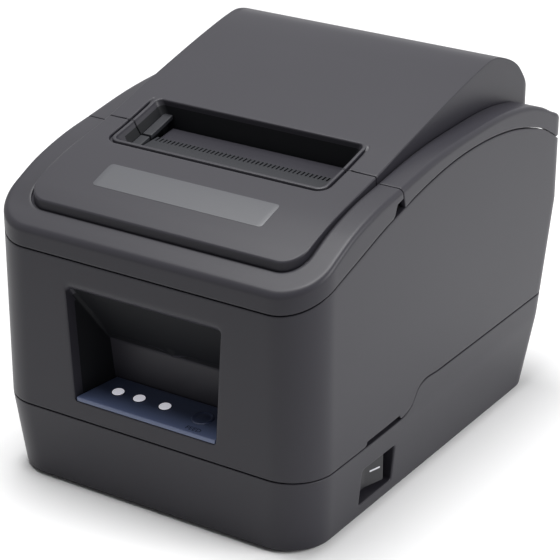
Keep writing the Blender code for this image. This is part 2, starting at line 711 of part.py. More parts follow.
def make_front_cover(outer, inner):
    """Hinged cover over the cutter, with its bent hinge arms and the tear bar."""
    cover = make_cover_shell("front_cover", outer, inner)
    half_seam = SEAM / 2
    split = [(d * MM - half_seam, h * MM) for d, h in COVER_SPLIT]
    cut(cover, across_all(split + [(DEPTH * 1.1, 96 * MM), (DEPTH * 1.1, 160 * MM)]))
    for side in (-1, 1):
        notch = [(NOTCH_FRONT, 112 * MM), (NOTCH_BACK + 6 * MM, 112 * MM), (NOTCH_BACK + 6 * MM, 121 * MM),
                 (NOTCH_FRONT + 5 * MM, 120.5 * MM), (NOTCH_FRONT + 1.5 * MM, 119 * MM)]
        ends = sorted((side * WIDTH, side * (WIDTH / 2 - WALL - MM)))
        cut(cover, side_shape(notch, *ends))
        near, far = sorted((side * (COVER_ARM_ACROSS - COVER_ARM_HALF), side * (COVER_ARM_ACROSS + COVER_ARM_HALF)))
        join(cover, side_shape(cover_arm(), near, far))
        pin_hole(cover, (near - MM, COVER_PIVOT_DEPTH, COVER_PIVOT_HEIGHT),
                 (far + MM, COVER_PIVOT_DEPTH, COVER_PIVOT_HEIGHT), COVER_PIN)
    bar = finish("tear_bar", tear_bar_mesh(), "black_plastic")
    pivot("front_cover_axis", at(0, COVER_PIVOT_DEPTH, COVER_PIVOT_HEIGHT), [cover, bar])


def tear_bar_mesh():
    """Flat bar under the front of the slot, with a saw-tooth rear edge."""
    left, right = SLOT_LEFT + SLOT_WALL, SLOT_RIGHT - SLOT_WALL
    teeth = 44
    pitch = (right - left) / teeth
    edge = []
    for i in range(teeth):
        edge += [(right - i * pitch, TEAR_BAR_BACK - MM), (right - (i + 0.5) * pitch, TEAR_BAR_BACK)]
    edge.append((left, TEAR_BAR_BACK - MM))
    front = SLOT_FRONT + CLEAR
    return plan_shape([(left, front), (right, front)] + edge, TEAR_BAR_TOP - TEAR_BAR_THICK, TEAR_BAR_TOP)


def make_lid(outer, inner):
    """Paper lid with its hinge lugs, and the frame below it that carries the platen."""
    lid = make_cover_shell("lid", outer, inner)
    half_seam = SEAM / 2
    split = [(d * MM + half_seam, h * MM) for d, h in COVER_SPLIT]
    cut(lid, across_all(split[::-1] + [(-DEPTH * 0.1, 160 * MM), (-DEPTH * 0.1, 96 * MM)]))
    for side in (-1, 1):
        lug = (arc((HINGE_DEPTH, HINGE_HEIGHT), HINGE_RADIUS, 180, 360, 8)
               + [(HINGE_DEPTH + 1 * MM, 112 * MM), (HINGE_DEPTH - HINGE_RADIUS, 114.6 * MM)])
        centre = side * HINGE_ACROSS
        join(lid, side_shape(lug, centre - LUG_HALF, centre + LUG_HALF))
        pin_hole(lid, (centre - 3 * MM, HINGE_DEPTH, HINGE_HEIGHT), (centre + 3 * MM, HINGE_DEPTH, HINGE_HEIGHT),
                 HINGE_PIN)
        join(lid, rod((side * 30 * MM, 93 * MM, 121 * MM + CLEAR), (side * 30 * MM, 93 * MM, 136 * MM), 4 * MM,
                      sides=12))
    frame = finish("lid_frame", block((paper(-ARM_HALF - ARM_THICK), LID_FRAME_FRONT, LID_FRAME_LOW),
                                      (paper(ARM_HALF + ARM_THICK), LID_FRAME_BACK, LID_FRAME_TOP)),
                   "black_plastic")
    arm = (arc(PLATEN, 5.6 * MM, 135, 315, 8) + [(96 * MM, 112 * MM), (97.5 * MM, 120.5 * MM), (88.5 * MM, 120.5 * MM)])
    for side in (-1, 1):
        near, far = sorted((paper(side * ARM_HALF), paper(side * (ARM_HALF + ARM_THICK))))
        join(frame, side_shape(arm, near, far))
        pin_hole(frame, (near - MM, *PLATEN), (far + MM, *PLATEN), SHAFT_RADIUS)
    back = LID_FRAME_FRONT - CLEAR
    fixed_top = FIXED_BLADE_LOW + FIXED_BLADE_THICK
    fixed = finish("fixed_blade", block((paper(-FIXED_BLADE_HALF), FIXED_BLADE_FRONT, FIXED_BLADE_LOW),
                                        (paper(FIXED_BLADE_HALF), back, fixed_top)), "steel")
    join(frame, block((paper(-SEAT_HALF), SEAT_FRONT, fixed_top + CLEAR),
                      (paper(SEAT_HALF), LID_FRAME_FRONT + 2 * MM, SEAT_TOP)))
    guide = [(GUIDE_FRONT, GUIDE_TOP - GUIDE_DROP), (GUIDE_FRONT, GUIDE_TOP - GUIDE_DROP - MM),
             (SEAT_FRONT + MM / 2, SEAT_TOP - MM), (GUIDE_BACK - MM / 2, SEAT_TOP - MM), (GUIDE_BACK, GUIDE_TOP)]
    join(frame, side_shape(guide, paper(-GUIDE_HALF), paper(GUIDE_HALF)))
    carried = [lid, frame, fixed]
    pivot("lid_axis", at(0, HINGE_DEPTH, HINGE_HEIGHT), carried)


def make_platen():
    """Roller that turns in the lid frame, with its gear and bushes."""
    shaft = finish("platen_shaft", rod((paper(-48.5 * MM), *PLATEN), (paper(GEAR_START + GEAR_WIDTH + MM), *PLATEN),
                                       SHAFT_RADIUS), "steel")
    rubber = finish("platen_rubber", rod((paper(-PLATEN_HALF), *PLATEN), (paper(PLATEN_HALF), *PLATEN),
                                         PLATEN_RADIUS, sides=32), "rubber")
    cut(rubber, rod((paper(-60 * MM), *PLATEN), (paper(60 * MM), *PLATEN), SHAFT_RADIUS + 0.1 * MM))
    wheel = finish("platen_gear", gear(gear_outline(PLATEN_TEETH), PLATEN, paper(GEAR_START),
                                       paper(GEAR_START + GEAR_WIDTH)), "white_acetal")
    cut(wheel, rod((paper(GEAR_START - MM), *PLATEN), (paper(GEAR_START + GEAR_WIDTH + MM), *PLATEN),
                   SHAFT_RADIUS + 0.1 * MM))
    pivot("platen_axis", at(PAPER_ACROSS, *PLATEN), [shaft, rubber, wheel])
    for name, side in (("platen_bush_left", -1), ("platen_bush_right", 1)):
        near, far = sorted((paper(side * (PLATEN_HALF + 0.6 * MM)), paper(side * (ARM_HALF - CLEAR))))
        bush = finish(name, rod((near, *PLATEN), (far, *PLATEN), BUSH_RADIUS), "white_acetal")
        pin_hole(bush, (near - MM, *PLATEN), (far + MM, *PLATEN), SHAFT_RADIUS)


def make_mechanism_frame():
    """Steel side plates with open bush slots, joined by a cross plate."""
    slot_half = BUSH_RADIUS + CLEAR
    plate = ([(FRAME_FRONT, FRAME_LOW), (FRAME_BACK, FRAME_LOW), (FRAME_BACK, PLATEN_HEIGHT),
              (PLATEN_DEPTH + slot_half, PLATEN_HEIGHT)]
             + arc(PLATEN, slot_half, 0, -180, 10)
             + [(PLATEN_DEPTH - slot_half, FRAME_HIGH), (FRAME_FRONT, FRAME_HIGH)])
    frame = finish("mechanism_frame", block((paper(-FRAME_HALF - FRAME_PLATE / 2), CROSS_PLATE_DEPTH,
                                             CROSS_PLATE_LOW),
                                            (paper(FRAME_HALF + FRAME_PLATE / 2), CROSS_PLATE_DEPTH + FRAME_PLATE,
                                             FRAME_HIGH)), "steel")
    for side in (-1, 1):
        near, far = sorted((paper(side * FRAME_HALF), paper(side * (FRAME_HALF + FRAME_PLATE))))
        join(frame, side_shape(plate, near, far))
    reach = paper(FRAME_HALF)
    cut(frame, rod((reach - 3 * MM, *PINION), (reach + 4 * MM, *PINION), MOTOR_SHAFT + 1.5 * MM))


def make_drive():
    """Paper feed motor with its shaft and pinion, and the idler gear on its pin."""
    face = paper(FRAME_HALF) - CLEAR
    motor = finish("feed_motor", rod((face - MOTOR_LENGTH, *PINION), (face, *PINION), MOTOR_RADIUS), "steel")
    cut(motor, rod((face - 8 * MM, *PINION), (face + MM, *PINION), MOTOR_SHAFT + CLEAR, sides=16))
    end = paper(GEAR_START + GEAR_WIDTH)
    shaft = finish("motor_shaft", rod((face - 7 * MM, *PINION), (end + MM, *PINION), MOTOR_SHAFT, sides=16), "steel")
    pinion = finish("motor_pinion", gear(gear_outline(PINION_TEETH, PINION_START), PINION, paper(GEAR_START), end),
                    "brass")
    cut(pinion, rod((paper(GEAR_START - MM), *PINION), (end + MM, *PINION), MOTOR_SHAFT + 0.1 * MM, sides=16))
    pivot("motor_axis", at(paper(GEAR_START), *PINION), [shaft, pinion])
    idler = finish("idler_gear", gear(gear_outline(IDLER_TEETH, IDLER_START), IDLER, paper(GEAR_START), end),
                   "white_acetal")
    pin_hole(idler, (paper(GEAR_START - MM), *IDLER), (end + MM, *IDLER), PIN_RADIUS)
    pivot("idler_axis", at(paper(GEAR_START), *IDLER), [idler])
    finish("idler_pin", rod((paper(FRAME_HALF + FRAME_PLATE) + CLEAR, *IDLER), (end + MM, *IDLER), PIN_RADIUS),
           "steel")


def make_print_head():
    """Ceramic head against the platen, its heat sink and the two springs behind it."""
    face = PLATEN_DEPTH - PLATEN_RADIUS - CLEAR
    finish("print_head", block((paper(-HEAD_HALF), face - HEAD_THICK, HEAD_LOW),
                               (paper(HEAD_HALF), face, HEAD_HIGH)), "white_acetal")
    back = face - HEAD_THICK - CLEAR
    finish("head_heat_sink", block((paper(-HEAD_HALF - MM), back - SINK_THICK, HEAD_LOW - 2 * MM),
                                   (paper(HEAD_HALF + MM), back, HEAD_HIGH)), "aluminium")
    start = CROSS_PLATE_DEPTH + FRAME_PLATE + CLEAR
    for name, across in (("head_spring_left", -24 * MM), ("head_spring_right", 24 * MM)):
        coil = spring_mesh(paper(across), start, back - SINK_THICK - CLEAR, HEAD_SPRING_HEIGHT)
        finish(name, coil, "steel")


def spring_mesh(across, front, back, height):
    """Coil spring along the depth, as a round wire on a helix, made a mesh."""
    wire, turns, per_turn = 0.35 * MM, 4, 10
    length = back - front - 2 * wire
    curve = bpy.data.curves.new("coil", "CURVE")
    curve.dimensions = "3D"
    curve.bevel_depth = wire
    curve.bevel_resolution = 0
    curve.use_fill_caps = True
    spline = curve.splines.new("POLY")
    count = turns * per_turn
    spline.points.add(count)
    for i, point in enumerate(spline.points):
        angle = 2 * math.pi * i / per_turn
        place_at = at(across + HEAD_SPRING_RADIUS * math.cos(angle), front + wire + length * i / count,
                      height + HEAD_SPRING_RADIUS * math.sin(angle))
        point.co = (*place_at, 1)
    guide = bpy.data.objects.new("coil", curve)
    bpy.context.scene.collection.objects.link(guide)
    mesh = bpy.data.meshes.new_from_object(guide.evaluated_get(bpy.context.evaluated_depsgraph_get()))
    bpy.data.objects.remove(guide)
    bm = bmesh.new()
    bm.from_mesh(mesh)
    bmesh.ops.remove_doubles(bm, verts=bm.verts, dist=1e-6)
    return mesh_from(bm)


def make_cutter():
    """Cutter on the frame: plate, keeper, toothed moving blade, gear on its post, and motor."""
    plate_top = CUTTER_PLATE_LOW + CUTTER_PLATE_THICK
    plate = finish("cutter_plate", block((paper(-FRAME_HALF), CUTTER_FRONT, CUTTER_PLATE_LOW),
                                         (paper(FRAME_HALF), CUTTER_BACK, plate_top)), "steel")
    post = (CUTTER_ACROSS, CUTTER_DEPTH)
    cut(plate, rod((*post, 100 * MM), (*post, 115 * MM), PIN_RADIUS + CLEAR, sides=16))
    tooth_step = math.pi * MODULE
    line = RACK_SIDE
    rack = []
    # A gap of the rack faces the gear's tooth at rest.
    for k in range(-6, 3):
        middle = CUTTER_DEPTH + (k + 0.5) * tooth_step
        rack += [(line - 1.15 * MODULE, middle - 0.27 * tooth_step), (line + 0.9 * MODULE, middle - 0.1 * tooth_step),
                 (line + 0.9 * MODULE, middle + 0.1 * tooth_step), (line - 1.15 * MODULE, middle + 0.27 * tooth_step)]
    left, right = paper(-BLADE_HALF), paper(BLADE_HALF)
    outline = ([(line - RACK_BAR, rack[0][1])] + rack
               + [(line - 1.15 * MODULE, BLADE_SHOULDER), (right, BLADE_SHOULDER), (right, BLADE_EDGE),
                  (paper(0), BLADE_EDGE - 3 * MM), (left, BLADE_EDGE), (left, BLADE_SHOULDER),
                  (line - RACK_BAR, BLADE_SHOULDER)])
    blade = finish("moving_blade", plan_shape(outline, BLADE_HEIGHT, BLADE_HEIGHT + BLADE_THICK), "steel")
    pivot("blade_axis", at(paper(0), BLADE_EDGE, BLADE_HEIGHT), [blade])
    wheel_outline = [(post[0] + u, post[1] + v) for u, v in gear_outline(CUTTER_TEETH, math.pi)]
    wheel = finish("cutter_gear", plan_shape(wheel_outline, plate_top + CLEAR, plate_top + 3.2 * MM), "white_acetal")
    join(wheel, rod((*post, plate_top + 2 * MM), (*post, plate_top + 5.6 * MM), 4.4 * MM, sides=16))
    pin_hole(wheel, (*post, plate_top), (*post, plate_top + 7 * MM), PIN_RADIUS)
    pivot("cutter_axis", at(*post, plate_top), [wheel])
    motor = finish("cutter_motor", rod((*post, CUTTER_MOTOR_LOW), (*post, CUTTER_PLATE_LOW - CLEAR),
                                       CUTTER_MOTOR_RADIUS), "steel")
    socket_low = CUTTER_PLATE_LOW - 4 * MM
    cut(motor, rod((*post, socket_low), (*post, CUTTER_PLATE_LOW + 2 * MM), PIN_RADIUS + CLEAR, sides=16))
    finish("cutter_post", rod((*post, socket_low + CLEAR), (*post, plate_top + 5 * MM), PIN_RADIUS, sides=16),
           "steel")
    keeper_low = BLADE_HEIGHT + BLADE_THICK + CLEAR
    keeper = finish("blade_keeper", block((paper(-FRAME_HALF), KEEPER_FRONT, keeper_low),
                                          (paper(FRAME_HALF), KEEPER_BACK, keeper_low + MM)), "steel")
    for side in (-1, 1):
        near, far = sorted((paper(side * (BLADE_HALF + CLEAR)), paper(side * FRAME_HALF)))
        join(keeper, block((near, KEEPER_FRONT, plate_top + CLEAR), (far, KEEPER_BACK, keeper_low + MM / 2)))


def make_paper_bucket():
    """Trough for the paper roll, with its deck and legs."""
    bucket = finish("paper_bucket", block((-DECK_HALF, DECK_FRONT, DECK_HEIGHT - 2 * MM),
                                          (DECK_HALF, DECK_BACK, DECK_HEIGHT)), "black_plastic")
    outer = arc((ROLL_DEPTH, ROLL_HEIGHT), ROLL_RADIUS + BUCKET_WALL, 180, 360, 18)
    inner = arc((ROLL_DEPTH, ROLL_HEIGHT), ROLL_RADIUS, 180, 360, 18)
    top = DECK_HEIGHT - MM
    outer = outer + [(outer[-1][0], top), (outer[0][0], top)]
    inner = inner + [(inner[-1][0], DECK_HEIGHT + MM), (inner[0][0], DECK_HEIGHT + MM)]
    join(bucket, side_shape(outer, paper(-BUCKET_HALF - BUCKET_WALL), paper(BUCKET_HALF + BUCKET_WALL)))
    for side in (-1, 1):
        for depth in (100 * MM, 168 * MM):
            near, far = sorted((side * 57 * MM, side * 63 * MM))
            low = WALL + CLEAR
            if depth > 150 * MM:
                depth -= 12 * MM
            join(bucket, block((near, depth, low), (far, depth + 5 * MM, top)))
    cut(bucket, side_shape(inner, paper(-BUCKET_HALF), paper(BUCKET_HALF)))
    finish("paper_sensor", block((paper(-BUCKET_HALF) - BUCKET_WALL - 7 * MM, ROLL_DEPTH - 5 * MM, 60 * MM),
                                 (paper(-BUCKET_HALF) - BUCKET_WALL - CLEAR, ROLL_DEPTH + 5 * MM, 72 * MM)),
           "black_plastic")


def make_hinge_pins():
    """Pins of the lid and of the front cover."""
    for name, side in (("left", -1), ("right", 1)):
        centre = side * HINGE_ACROSS
        reach = LUG_HALF + CLEAR + EAR_THICK
        finish(f"lid_hinge_pin_{name}", rod((centre - reach, HINGE_DEPTH, HINGE_HEIGHT),
                                            (centre + reach, HINGE_DEPTH, HINGE_HEIGHT), HINGE_PIN, sides=16), "steel")
        start = side * (COVER_ARM_ACROSS - COVER_ARM_HALF - MM)
        end = side * 64.5 * MM
        finish(f"cover_hinge_pin_{name}", rod((start, COVER_PIVOT_DEPTH, COVER_PIVOT_HEIGHT),
                                              (end, COVER_PIVOT_DEPTH, COVER_PIVOT_HEIGHT), COVER_PIN, sides=16),
               "steel")


def make_control_panel():
    """Sloping panel plate with its lenses, button, switch and board."""
    front, back = 0.4 * MM, WINDOW_DEPTH - CLEAR
    profile = [(front, panel_height(front)), (front, panel_height(front) - PANEL_THICK),
               (back, panel_height(back) - PANEL_THICK), (back, panel_height(back))]
    panel = finish("control_panel", side_shape(profile, -WINDOW_HALF_TOP, WINDOW_HALF_TOP), "panel_film")
    sides = [(-WINDOW_HALF_BOTTOM + CLEAR, front), (WINDOW_HALF_BOTTOM - CLEAR, front)]
    far = WINDOW_HALF_BOTTOM - CLEAR - WINDOW_TAPER * back / WINDOW_DEPTH
    keep(panel, plan_shape(sides + [(far, back), (-far, back)], 30 * MM, 50 * MM))
    board_top = PANEL_BOARD_HEIGHT + PANEL_BOARD_THICK
    finish("panel_board", block((-28 * MM, 2.6 * MM, PANEL_BOARD_HEIGHT), (28 * MM, 19 * MM, board_top)),
           "circuit_board")
    face = panel_height(PANEL_ROW)
    for name, across in LENS_PLACES.items():
        finish(name, rod((across, PANEL_ROW, board_top + CLEAR), (across, PANEL_ROW, face + LENS_PROUD),
                         LENS_RADIUS, sides=20), "lens")
        cut(panel, rod((across, PANEL_ROW, 30 * MM), (across, PANEL_ROW, 50 * MM), LENS_RADIUS + 0.2 * MM, sides=20))
    flange_top = face - PANEL_THICK - 1.1 * MM
    flange_low = flange_top - 1.2 * MM
    button = finish("feed_button", rod((BUTTON_ACROSS, PANEL_ROW, flange_low),
                                       (BUTTON_ACROSS, PANEL_ROW, face + BUTTON_PROUD), BUTTON_RADIUS), "black_plastic")
    join(button, rod((BUTTON_ACROSS, PANEL_ROW, flange_low - 0.3 * MM), (BUTTON_ACROSS, PANEL_ROW, flange_top),
                     BUTTON_RADIUS + 1 * MM))
    cut(panel, rod((BUTTON_ACROSS, PANEL_ROW, 30 * MM), (BUTTON_ACROSS, PANEL_ROW, 50 * MM), BUTTON_RADIUS + CLEAR))
    pivot("button_axis", at(BUTTON_ACROSS, PANEL_ROW, face), [button])
    switch_top = flange_low - 0.3 * MM - BUTTON_TRAVEL - 0.25 * MM
    finish("feed_switch", block((BUTTON_ACROSS - 3 * MM, PANEL_ROW - 3 * MM, board_top + CLEAR),
                                (BUTTON_ACROSS + 3 * MM, PANEL_ROW + 3 * MM, switch_top)), "black_plastic")


def make_power_switch():
    """Rocker in its housing, tipped so that its front half is pressed in."""
    middle = (SWITCH_LOW + SWITCH_HIGH) / 2
    face = WIDTH / 2 - SWITCH_RECESS
    housing = finish("switch_housing", block((face - SWITCH_BODY, SWITCH_FRONT + CLEAR, SWITCH_LOW + CLEAR),
                                             (face, SWITCH_BACK - CLEAR, SWITCH_HIGH - CLEAR)), "black_plastic")
    well = ROCKER_HALF + CLEAR
    cut(housing, block((ROCKER_AXIS - 5 * MM, ROCKER_DEPTH - well, SWITCH_LOW + SWITCH_FRAME),
                       (WIDTH, ROCKER_DEPTH + well, SWITCH_HIGH - SWITCH_FRAME)))
    right_arc = arc((0, 0), ROCKER_HALF, 8, ROCKER_ARC_END, 4)
    crest = ROCKER_HALF * math.sin(math.radians(ROCKER_ARC_END))
    outline = (right_arc + [(0, crest - ROCKER_DISH)] + [(-u, v) for u, v in right_arc[::-1]]
               + [(-4 * MM, -2.5 * MM), (4 * MM, -2.5 * MM)])
    turned = []
    for along, out in outline:
        u = along * math.cos(ROCKER_TILT) - out * math.sin(ROCKER_TILT)
        v = along * math.sin(ROCKER_TILT) + out * math.cos(ROCKER_TILT)
        turned.append((ROCKER_AXIS + v, ROCKER_DEPTH + u))
    rocker = finish("power_rocker", plan_shape(turned, SWITCH_LOW + SWITCH_FRAME + CLEAR,
                                               SWITCH_HIGH - SWITCH_FRAME - CLEAR), "black_plastic")
    pivot("rocker_axis", at(ROCKER_AXIS, ROCKER_DEPTH, middle), [rocker])


def make_electronics():
    """Main board on its posts, the sockets at its rear edge, and the buzzer."""
    top = BOARD_LOW + BOARD_THICK
    finish("main_board", block((-BOARD_HALF, BOARD_FRONT, BOARD_LOW), (BOARD_HALF, BOARD_BACK, top)),
           "circuit_board")
    for name, (left, right, tall) in SOCKETS.items():
        socket = finish(name, block((left, SOCKET_START + 4 * MM, top + CLEAR), (right, SOCKET_BACK, top + tall)),
                        "black_plastic")
        cut(socket, block((left + 1.5 * MM, SOCKET_BACK - 7 * MM, top + 2 * MM),
                          (right - 1.5 * MM, SOCKET_BACK + MM, top + tall - 1.5 * MM)))
    finish("buzzer", rod((30 * MM, 120 * MM, top + CLEAR), (30 * MM, 120 * MM, top + 8 * MM), 6 * MM), "black_plastic")


def make_fasteners():
    """Casing screws from below and the rubber feet."""
    for name, (side, depth) in SCREW_PLACES.items():
        across, depth = side * SCREW_ACROSS, depth * MM
        screw = finish(f"casing_screw_{name}", rod((across, depth, 0.5 * MM), (across, depth, SCREW_HEAD_THICK),
                                                   SCREW_HEAD, sides=12), "steel")
        join(screw, rod((across, depth, MM), (across, depth, screw_post_top(depth) + POST_LENGTH), SCREW_RADIUS,
                        sides=12))
    for end, depth in FOOT_DEPTHS.items():
        for name, side in (("left", -1), ("right", 1)):
            across = side * FOOT_ACROSS
            finish(f"foot_{end}_{name}", rod((across, depth, -FOOT_STAND), (across, depth, FOOT_RECESS - CLEAR),
                                             FOOT_RADIUS), "rubber")


def main():
    """Builds the whole printer."""
    clear_scene()
    make_palette()
    make_base_casing()
    make_main_casing()
    outer, inner = cover_solid(0.0), cover_solid(WALL)
    make_front_cover(outer, inner)
    make_lid(outer, inner)
    make_platen()
    make_mechanism_frame()
    make_drive()
    make_print_head()
    make_cutter()
    make_paper_bucket()
    make_hinge_pins()
    make_control_panel()
    make_power_switch()
    make_electronics()
    make_fasteners()


main()
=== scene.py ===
"""Desktop receipt printer: the fine casings, covers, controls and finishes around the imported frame.

Metres, +Z up, the front faces -Y. Places are worked out as (across, depth, height): across is X,
depth runs back from the front face, and height runs up from the underside of the base casing.
"""

import logging
import math
from collections.abc import Callable, Sequence
from dataclasses import dataclass, field
from enum import Enum

import bpy
import numpy as np
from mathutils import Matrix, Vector

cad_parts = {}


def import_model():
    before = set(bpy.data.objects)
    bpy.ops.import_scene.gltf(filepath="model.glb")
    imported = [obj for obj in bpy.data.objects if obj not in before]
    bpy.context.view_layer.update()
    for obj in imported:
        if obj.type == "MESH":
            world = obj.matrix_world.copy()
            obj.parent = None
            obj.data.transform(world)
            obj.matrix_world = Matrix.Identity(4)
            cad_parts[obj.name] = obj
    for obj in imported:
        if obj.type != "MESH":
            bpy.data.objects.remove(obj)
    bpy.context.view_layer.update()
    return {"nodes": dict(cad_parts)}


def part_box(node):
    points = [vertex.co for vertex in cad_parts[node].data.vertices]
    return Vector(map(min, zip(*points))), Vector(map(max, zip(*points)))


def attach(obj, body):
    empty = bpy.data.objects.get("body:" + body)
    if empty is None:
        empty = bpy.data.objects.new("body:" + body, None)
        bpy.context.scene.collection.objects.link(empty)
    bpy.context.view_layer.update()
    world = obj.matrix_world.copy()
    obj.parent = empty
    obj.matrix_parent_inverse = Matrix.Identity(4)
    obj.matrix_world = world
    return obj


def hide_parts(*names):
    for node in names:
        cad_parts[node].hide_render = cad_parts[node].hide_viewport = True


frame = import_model()

LOG = logging.getLogger("receipt_printer")
MM = 0.001
EDGE_STEPS = 4  # steps in the quarter circle of a wall's edge, and so the rows that it adds
Array = np.ndarray


class Slot(Enum):
    """Finish slots of the part's record."""

    CHARCOAL = "charcoal_plastic"
    BLACK = "black_plastic"
    FILM = "panel_film"
    LENS = "lens"
    RUBBER = "rubber"
    STEEL = "steel"
    ALUMINIUM = "aluminium"
    ACETAL = "white_acetal"
    BOARD = "circuit_board"
    BRASS = "brass"


# ---------------------------------------------------------------- mathematics of the shapes


@dataclass(frozen=True)
class Profile:
    """Height as a smooth function of depth.

    Each stretch between two given points is a cubic whose slope at a point is that of the line
    between its two neighbours. Points are (depth, height) in millimetres.
    """

    points: tuple[tuple[float, float], ...]

    def __call__(self, depth: Array) -> Array:
        """Heights at the depths, in metres.

        Args:
            depth: depths, in metres.

        Returns:
            Heights, in metres.
        """
        d, h = np.array(self.points).T * MM
        before, after = np.maximum(np.arange(len(d)) - 1, 0), np.minimum(np.arange(len(d)) + 1, len(d) - 1)
        slope = (h[after] - h[before]) / (d[after] - d[before])
        i = np.clip(np.searchsorted(d, depth) - 1, 0, len(d) - 2)
        run = d[i + 1] - d[i]
        t = (depth - d[i]) / run
        return ((2 * t**3 - 3 * t**2 + 1) * h[i] + (t**3 - 2 * t**2 + t) * run * slope[i]
                + (3 * t**2 - 2 * t**3) * h[i + 1] + (t**3 - t**2) * run * slope[i + 1])


RING_SIDE = ((-2, 96.8), (0, 97.4), (14, 103.6), (32, 109.5), (58, 117.4), (92, 124.3), (120, 126.1),
             (150, 123.4), (176, 116.2), (187, 110.6), (192, 107.6))
BASE_SEAM = Profile(((-2, 31), (68, 31.5), (75, 33.6), (80, 39), (86, 41), (95, 40.5), (203, 40.5)))
BODY_RIM = Profile(RING_SIDE + ((195, 106.1), (197, 103.4), (198.5, 100.8), (203, 100.8)))
COVER_RIM = Profile(RING_SIDE + ((196, 108.3), (203, 108.4)))
LEDGE = Profile(((-2, 104.6), (0, 105.6), (5, 108.2), (10, 110.5), (20, 115.6), (31.5, 120.5), (47.5, 124.7),
                 (64, 127.2), (92, 130.9), (120, 132.1), (145, 131.7), (165, 128.7), (178, 124.4),
                 (188, 119.5), (203, 113.5)))
PANEL = Profile(((8, 112.5), (17.7, 117.2), (34.4, 122.9), (64, 129.6), (84.5, 135), (111.4, 141.7),
                 (130.2, 146), (146.7, 149.2), (155, 149.7), (164.8, 146.9), (174.9, 141.4), (181.3, 134.5),
                 (187.6, 126.1), (191, 117)))


def world(across: Array, depth: Array, height: Array) -> Array:
    """Points of the frame from places, with the origin at the middle of the feet."""
    across, depth, height = np.broadcast_arrays(across, depth, height)
    return np.stack([across, depth - Casing.DEPTH / 2, height + Casing.FOOT_STAND], axis=-1)


def column(values: Sequence[float] | Array) -> Array:
    """Values as one column, so that they vary down the rows of a grid."""
    return np.asarray(values, float)[:, None]


def blend(start: Array, end: Array, share: Array) -> Array:
    """Straight mix of two lines of points, start + (end - start) times share."""
    return start + (end - start) * share


def smoothstep(value: Array) -> Array:
    """Cubic 3v^2 - 2v^3 of a value held between 0 and 1."""
    value = np.clip(value, 0, 1)
    return value * value * (3 - 2 * value)


def quarter(steps: int) -> tuple[Array, Array]:
    """Sine and cosine of steps + 1 even angles from 0 to 90 degrees."""
    angle = np.linspace(0, math.pi / 2, steps + 1)
    return np.sin(angle), np.cos(angle)


@dataclass(frozen=True)
class Stations:
    """Places along a rounded rectangle seen from above, in order anticlockwise.

    Each place is a sum of shares of the rectangle's own sizes. The shares of across are of left, right,
    front corner, back corner and 1; those of depth are of front, back, front corner, back corner and 1.
    """

    across: Array
    depth: Array

    def outline(self, left: Array, right: Array, front: Array, back: Array, front_corner: Array,
                back_corner: Array) -> tuple[Array, Array]:
        """Across and depth of each place for a rectangle of these sizes.

        Args:
            left: left side.
            right: right side.
            front: front side.
            back: back side.
            front_corner: radius of the front corners.
            back_corner: radius of the back corners.

        Returns:
            Across and depth of each place.
        """
        a, d = self.across.T, self.depth.T
        return (a[0] * left + a[1] * right + a[2] * front_corner + a[3] * back_corner + a[4],
                d[0] * front + d[1] * back + d[2] * front_corner + d[3] * back_corner + d[4])


class Corner(Enum):
    """Corners of a rounded rectangle, as the angle in degrees at which each one's arc starts."""

    FRONT_LEFT = 180
    FRONT_RIGHT = 270
    BACK_RIGHT = 0
    BACK_LEFT = 90


def arc_stretch(corner: Corner, count: int) -> Stations:
    """Arc round a corner: its centre plus radius times cosine and sine.

    Args:
        corner: which corner.
        count: how many places; the arc's last point is left out.

    Returns:
        The places.
    """
    angle = np.radians(corner.value + 90 * np.arange(count) / count)
    left = corner in (Corner.FRONT_LEFT, Corner.BACK_LEFT)
    front = corner in (Corner.FRONT_LEFT, Corner.FRONT_RIGHT)
    across, depth = np.zeros((count, 5)), np.zeros((count, 5))
    across[:, 0 if left else 1] = 1
    depth[:, 0 if front else 1] = 1
    across[:, 2 if front else 3] = np.cos(angle) + (1 if left else -1)
    depth[:, 2 if front else 3] = np.sin(angle) + (1 if front else -1)
    return Stations(across, depth)


def line_stretch(start: tuple, end: tuple, count: int) -> Stations:
    """Straight stretch from one place to another, each a pair of share lists. The last point is left out.

    Args:
        start: where it starts.
        end: where it ends.
        count: how many places.

    Returns:
        The places.
    """
    share = column(np.arange(count) / count)
    (a0, d0), (a1, d1) = np.array(start, float), np.array(end, float)
    return Stations(a0 + (a1 - a0) * share, d0 + (d1 - d0) * share)


def side_place(right: bool, depth: float | None = None, front: bool = True) -> tuple:
    """Place on a side: at a fixed depth, or where the front or the back corner's arc ends.

    Args:
        right: whether it is the right side.
        depth: a fixed depth, if it has one.
        front: whether it is the front corner's arc that ends there.

    Returns:
        Share lists of across and of depth.
    """
    across = [0, 1, 0, 0, 0] if right else [1, 0, 0, 0, 0]
    if depth is not None:
        return across, [0, 0, 0, 0, depth]
    return across, [1, 0, 1, 0, 0] if front else [0, 1, 0, -1, 0]


def end_place(right: bool, front: bool) -> tuple:
    """Place on the front or the back line where a corner's arc ends.

    Args:
        right: whether it is the right corner.
        front: whether it is the front line.

    Returns:
        Share lists of across and of depth.
    """
    across = [0, 0, 0, 0, 0]
    across[1 if right else 0] = 1
    across[2 if front else 3] = -1 if right else 1
    return across, [1, 0, 0, 0, 0] if front else [0, 1, 0, 0, 0]


def chain(*stretches: Stations, close: tuple | None = None) -> Stations:
    """Stretches joined end to end, with one last place if it is given.

    Args:
        stretches: the stretches, in order.
        close: the last place.

    Returns:
        The places in order.
    """
    parts = list(stretches)
    if close is not None:
        parts.append(line_stretch(close, close, 1))
    return Stations(np.concatenate([p.across for p in parts]), np.concatenate([p.depth for p in parts]))


# ---------------------------------------------------------------- meshes


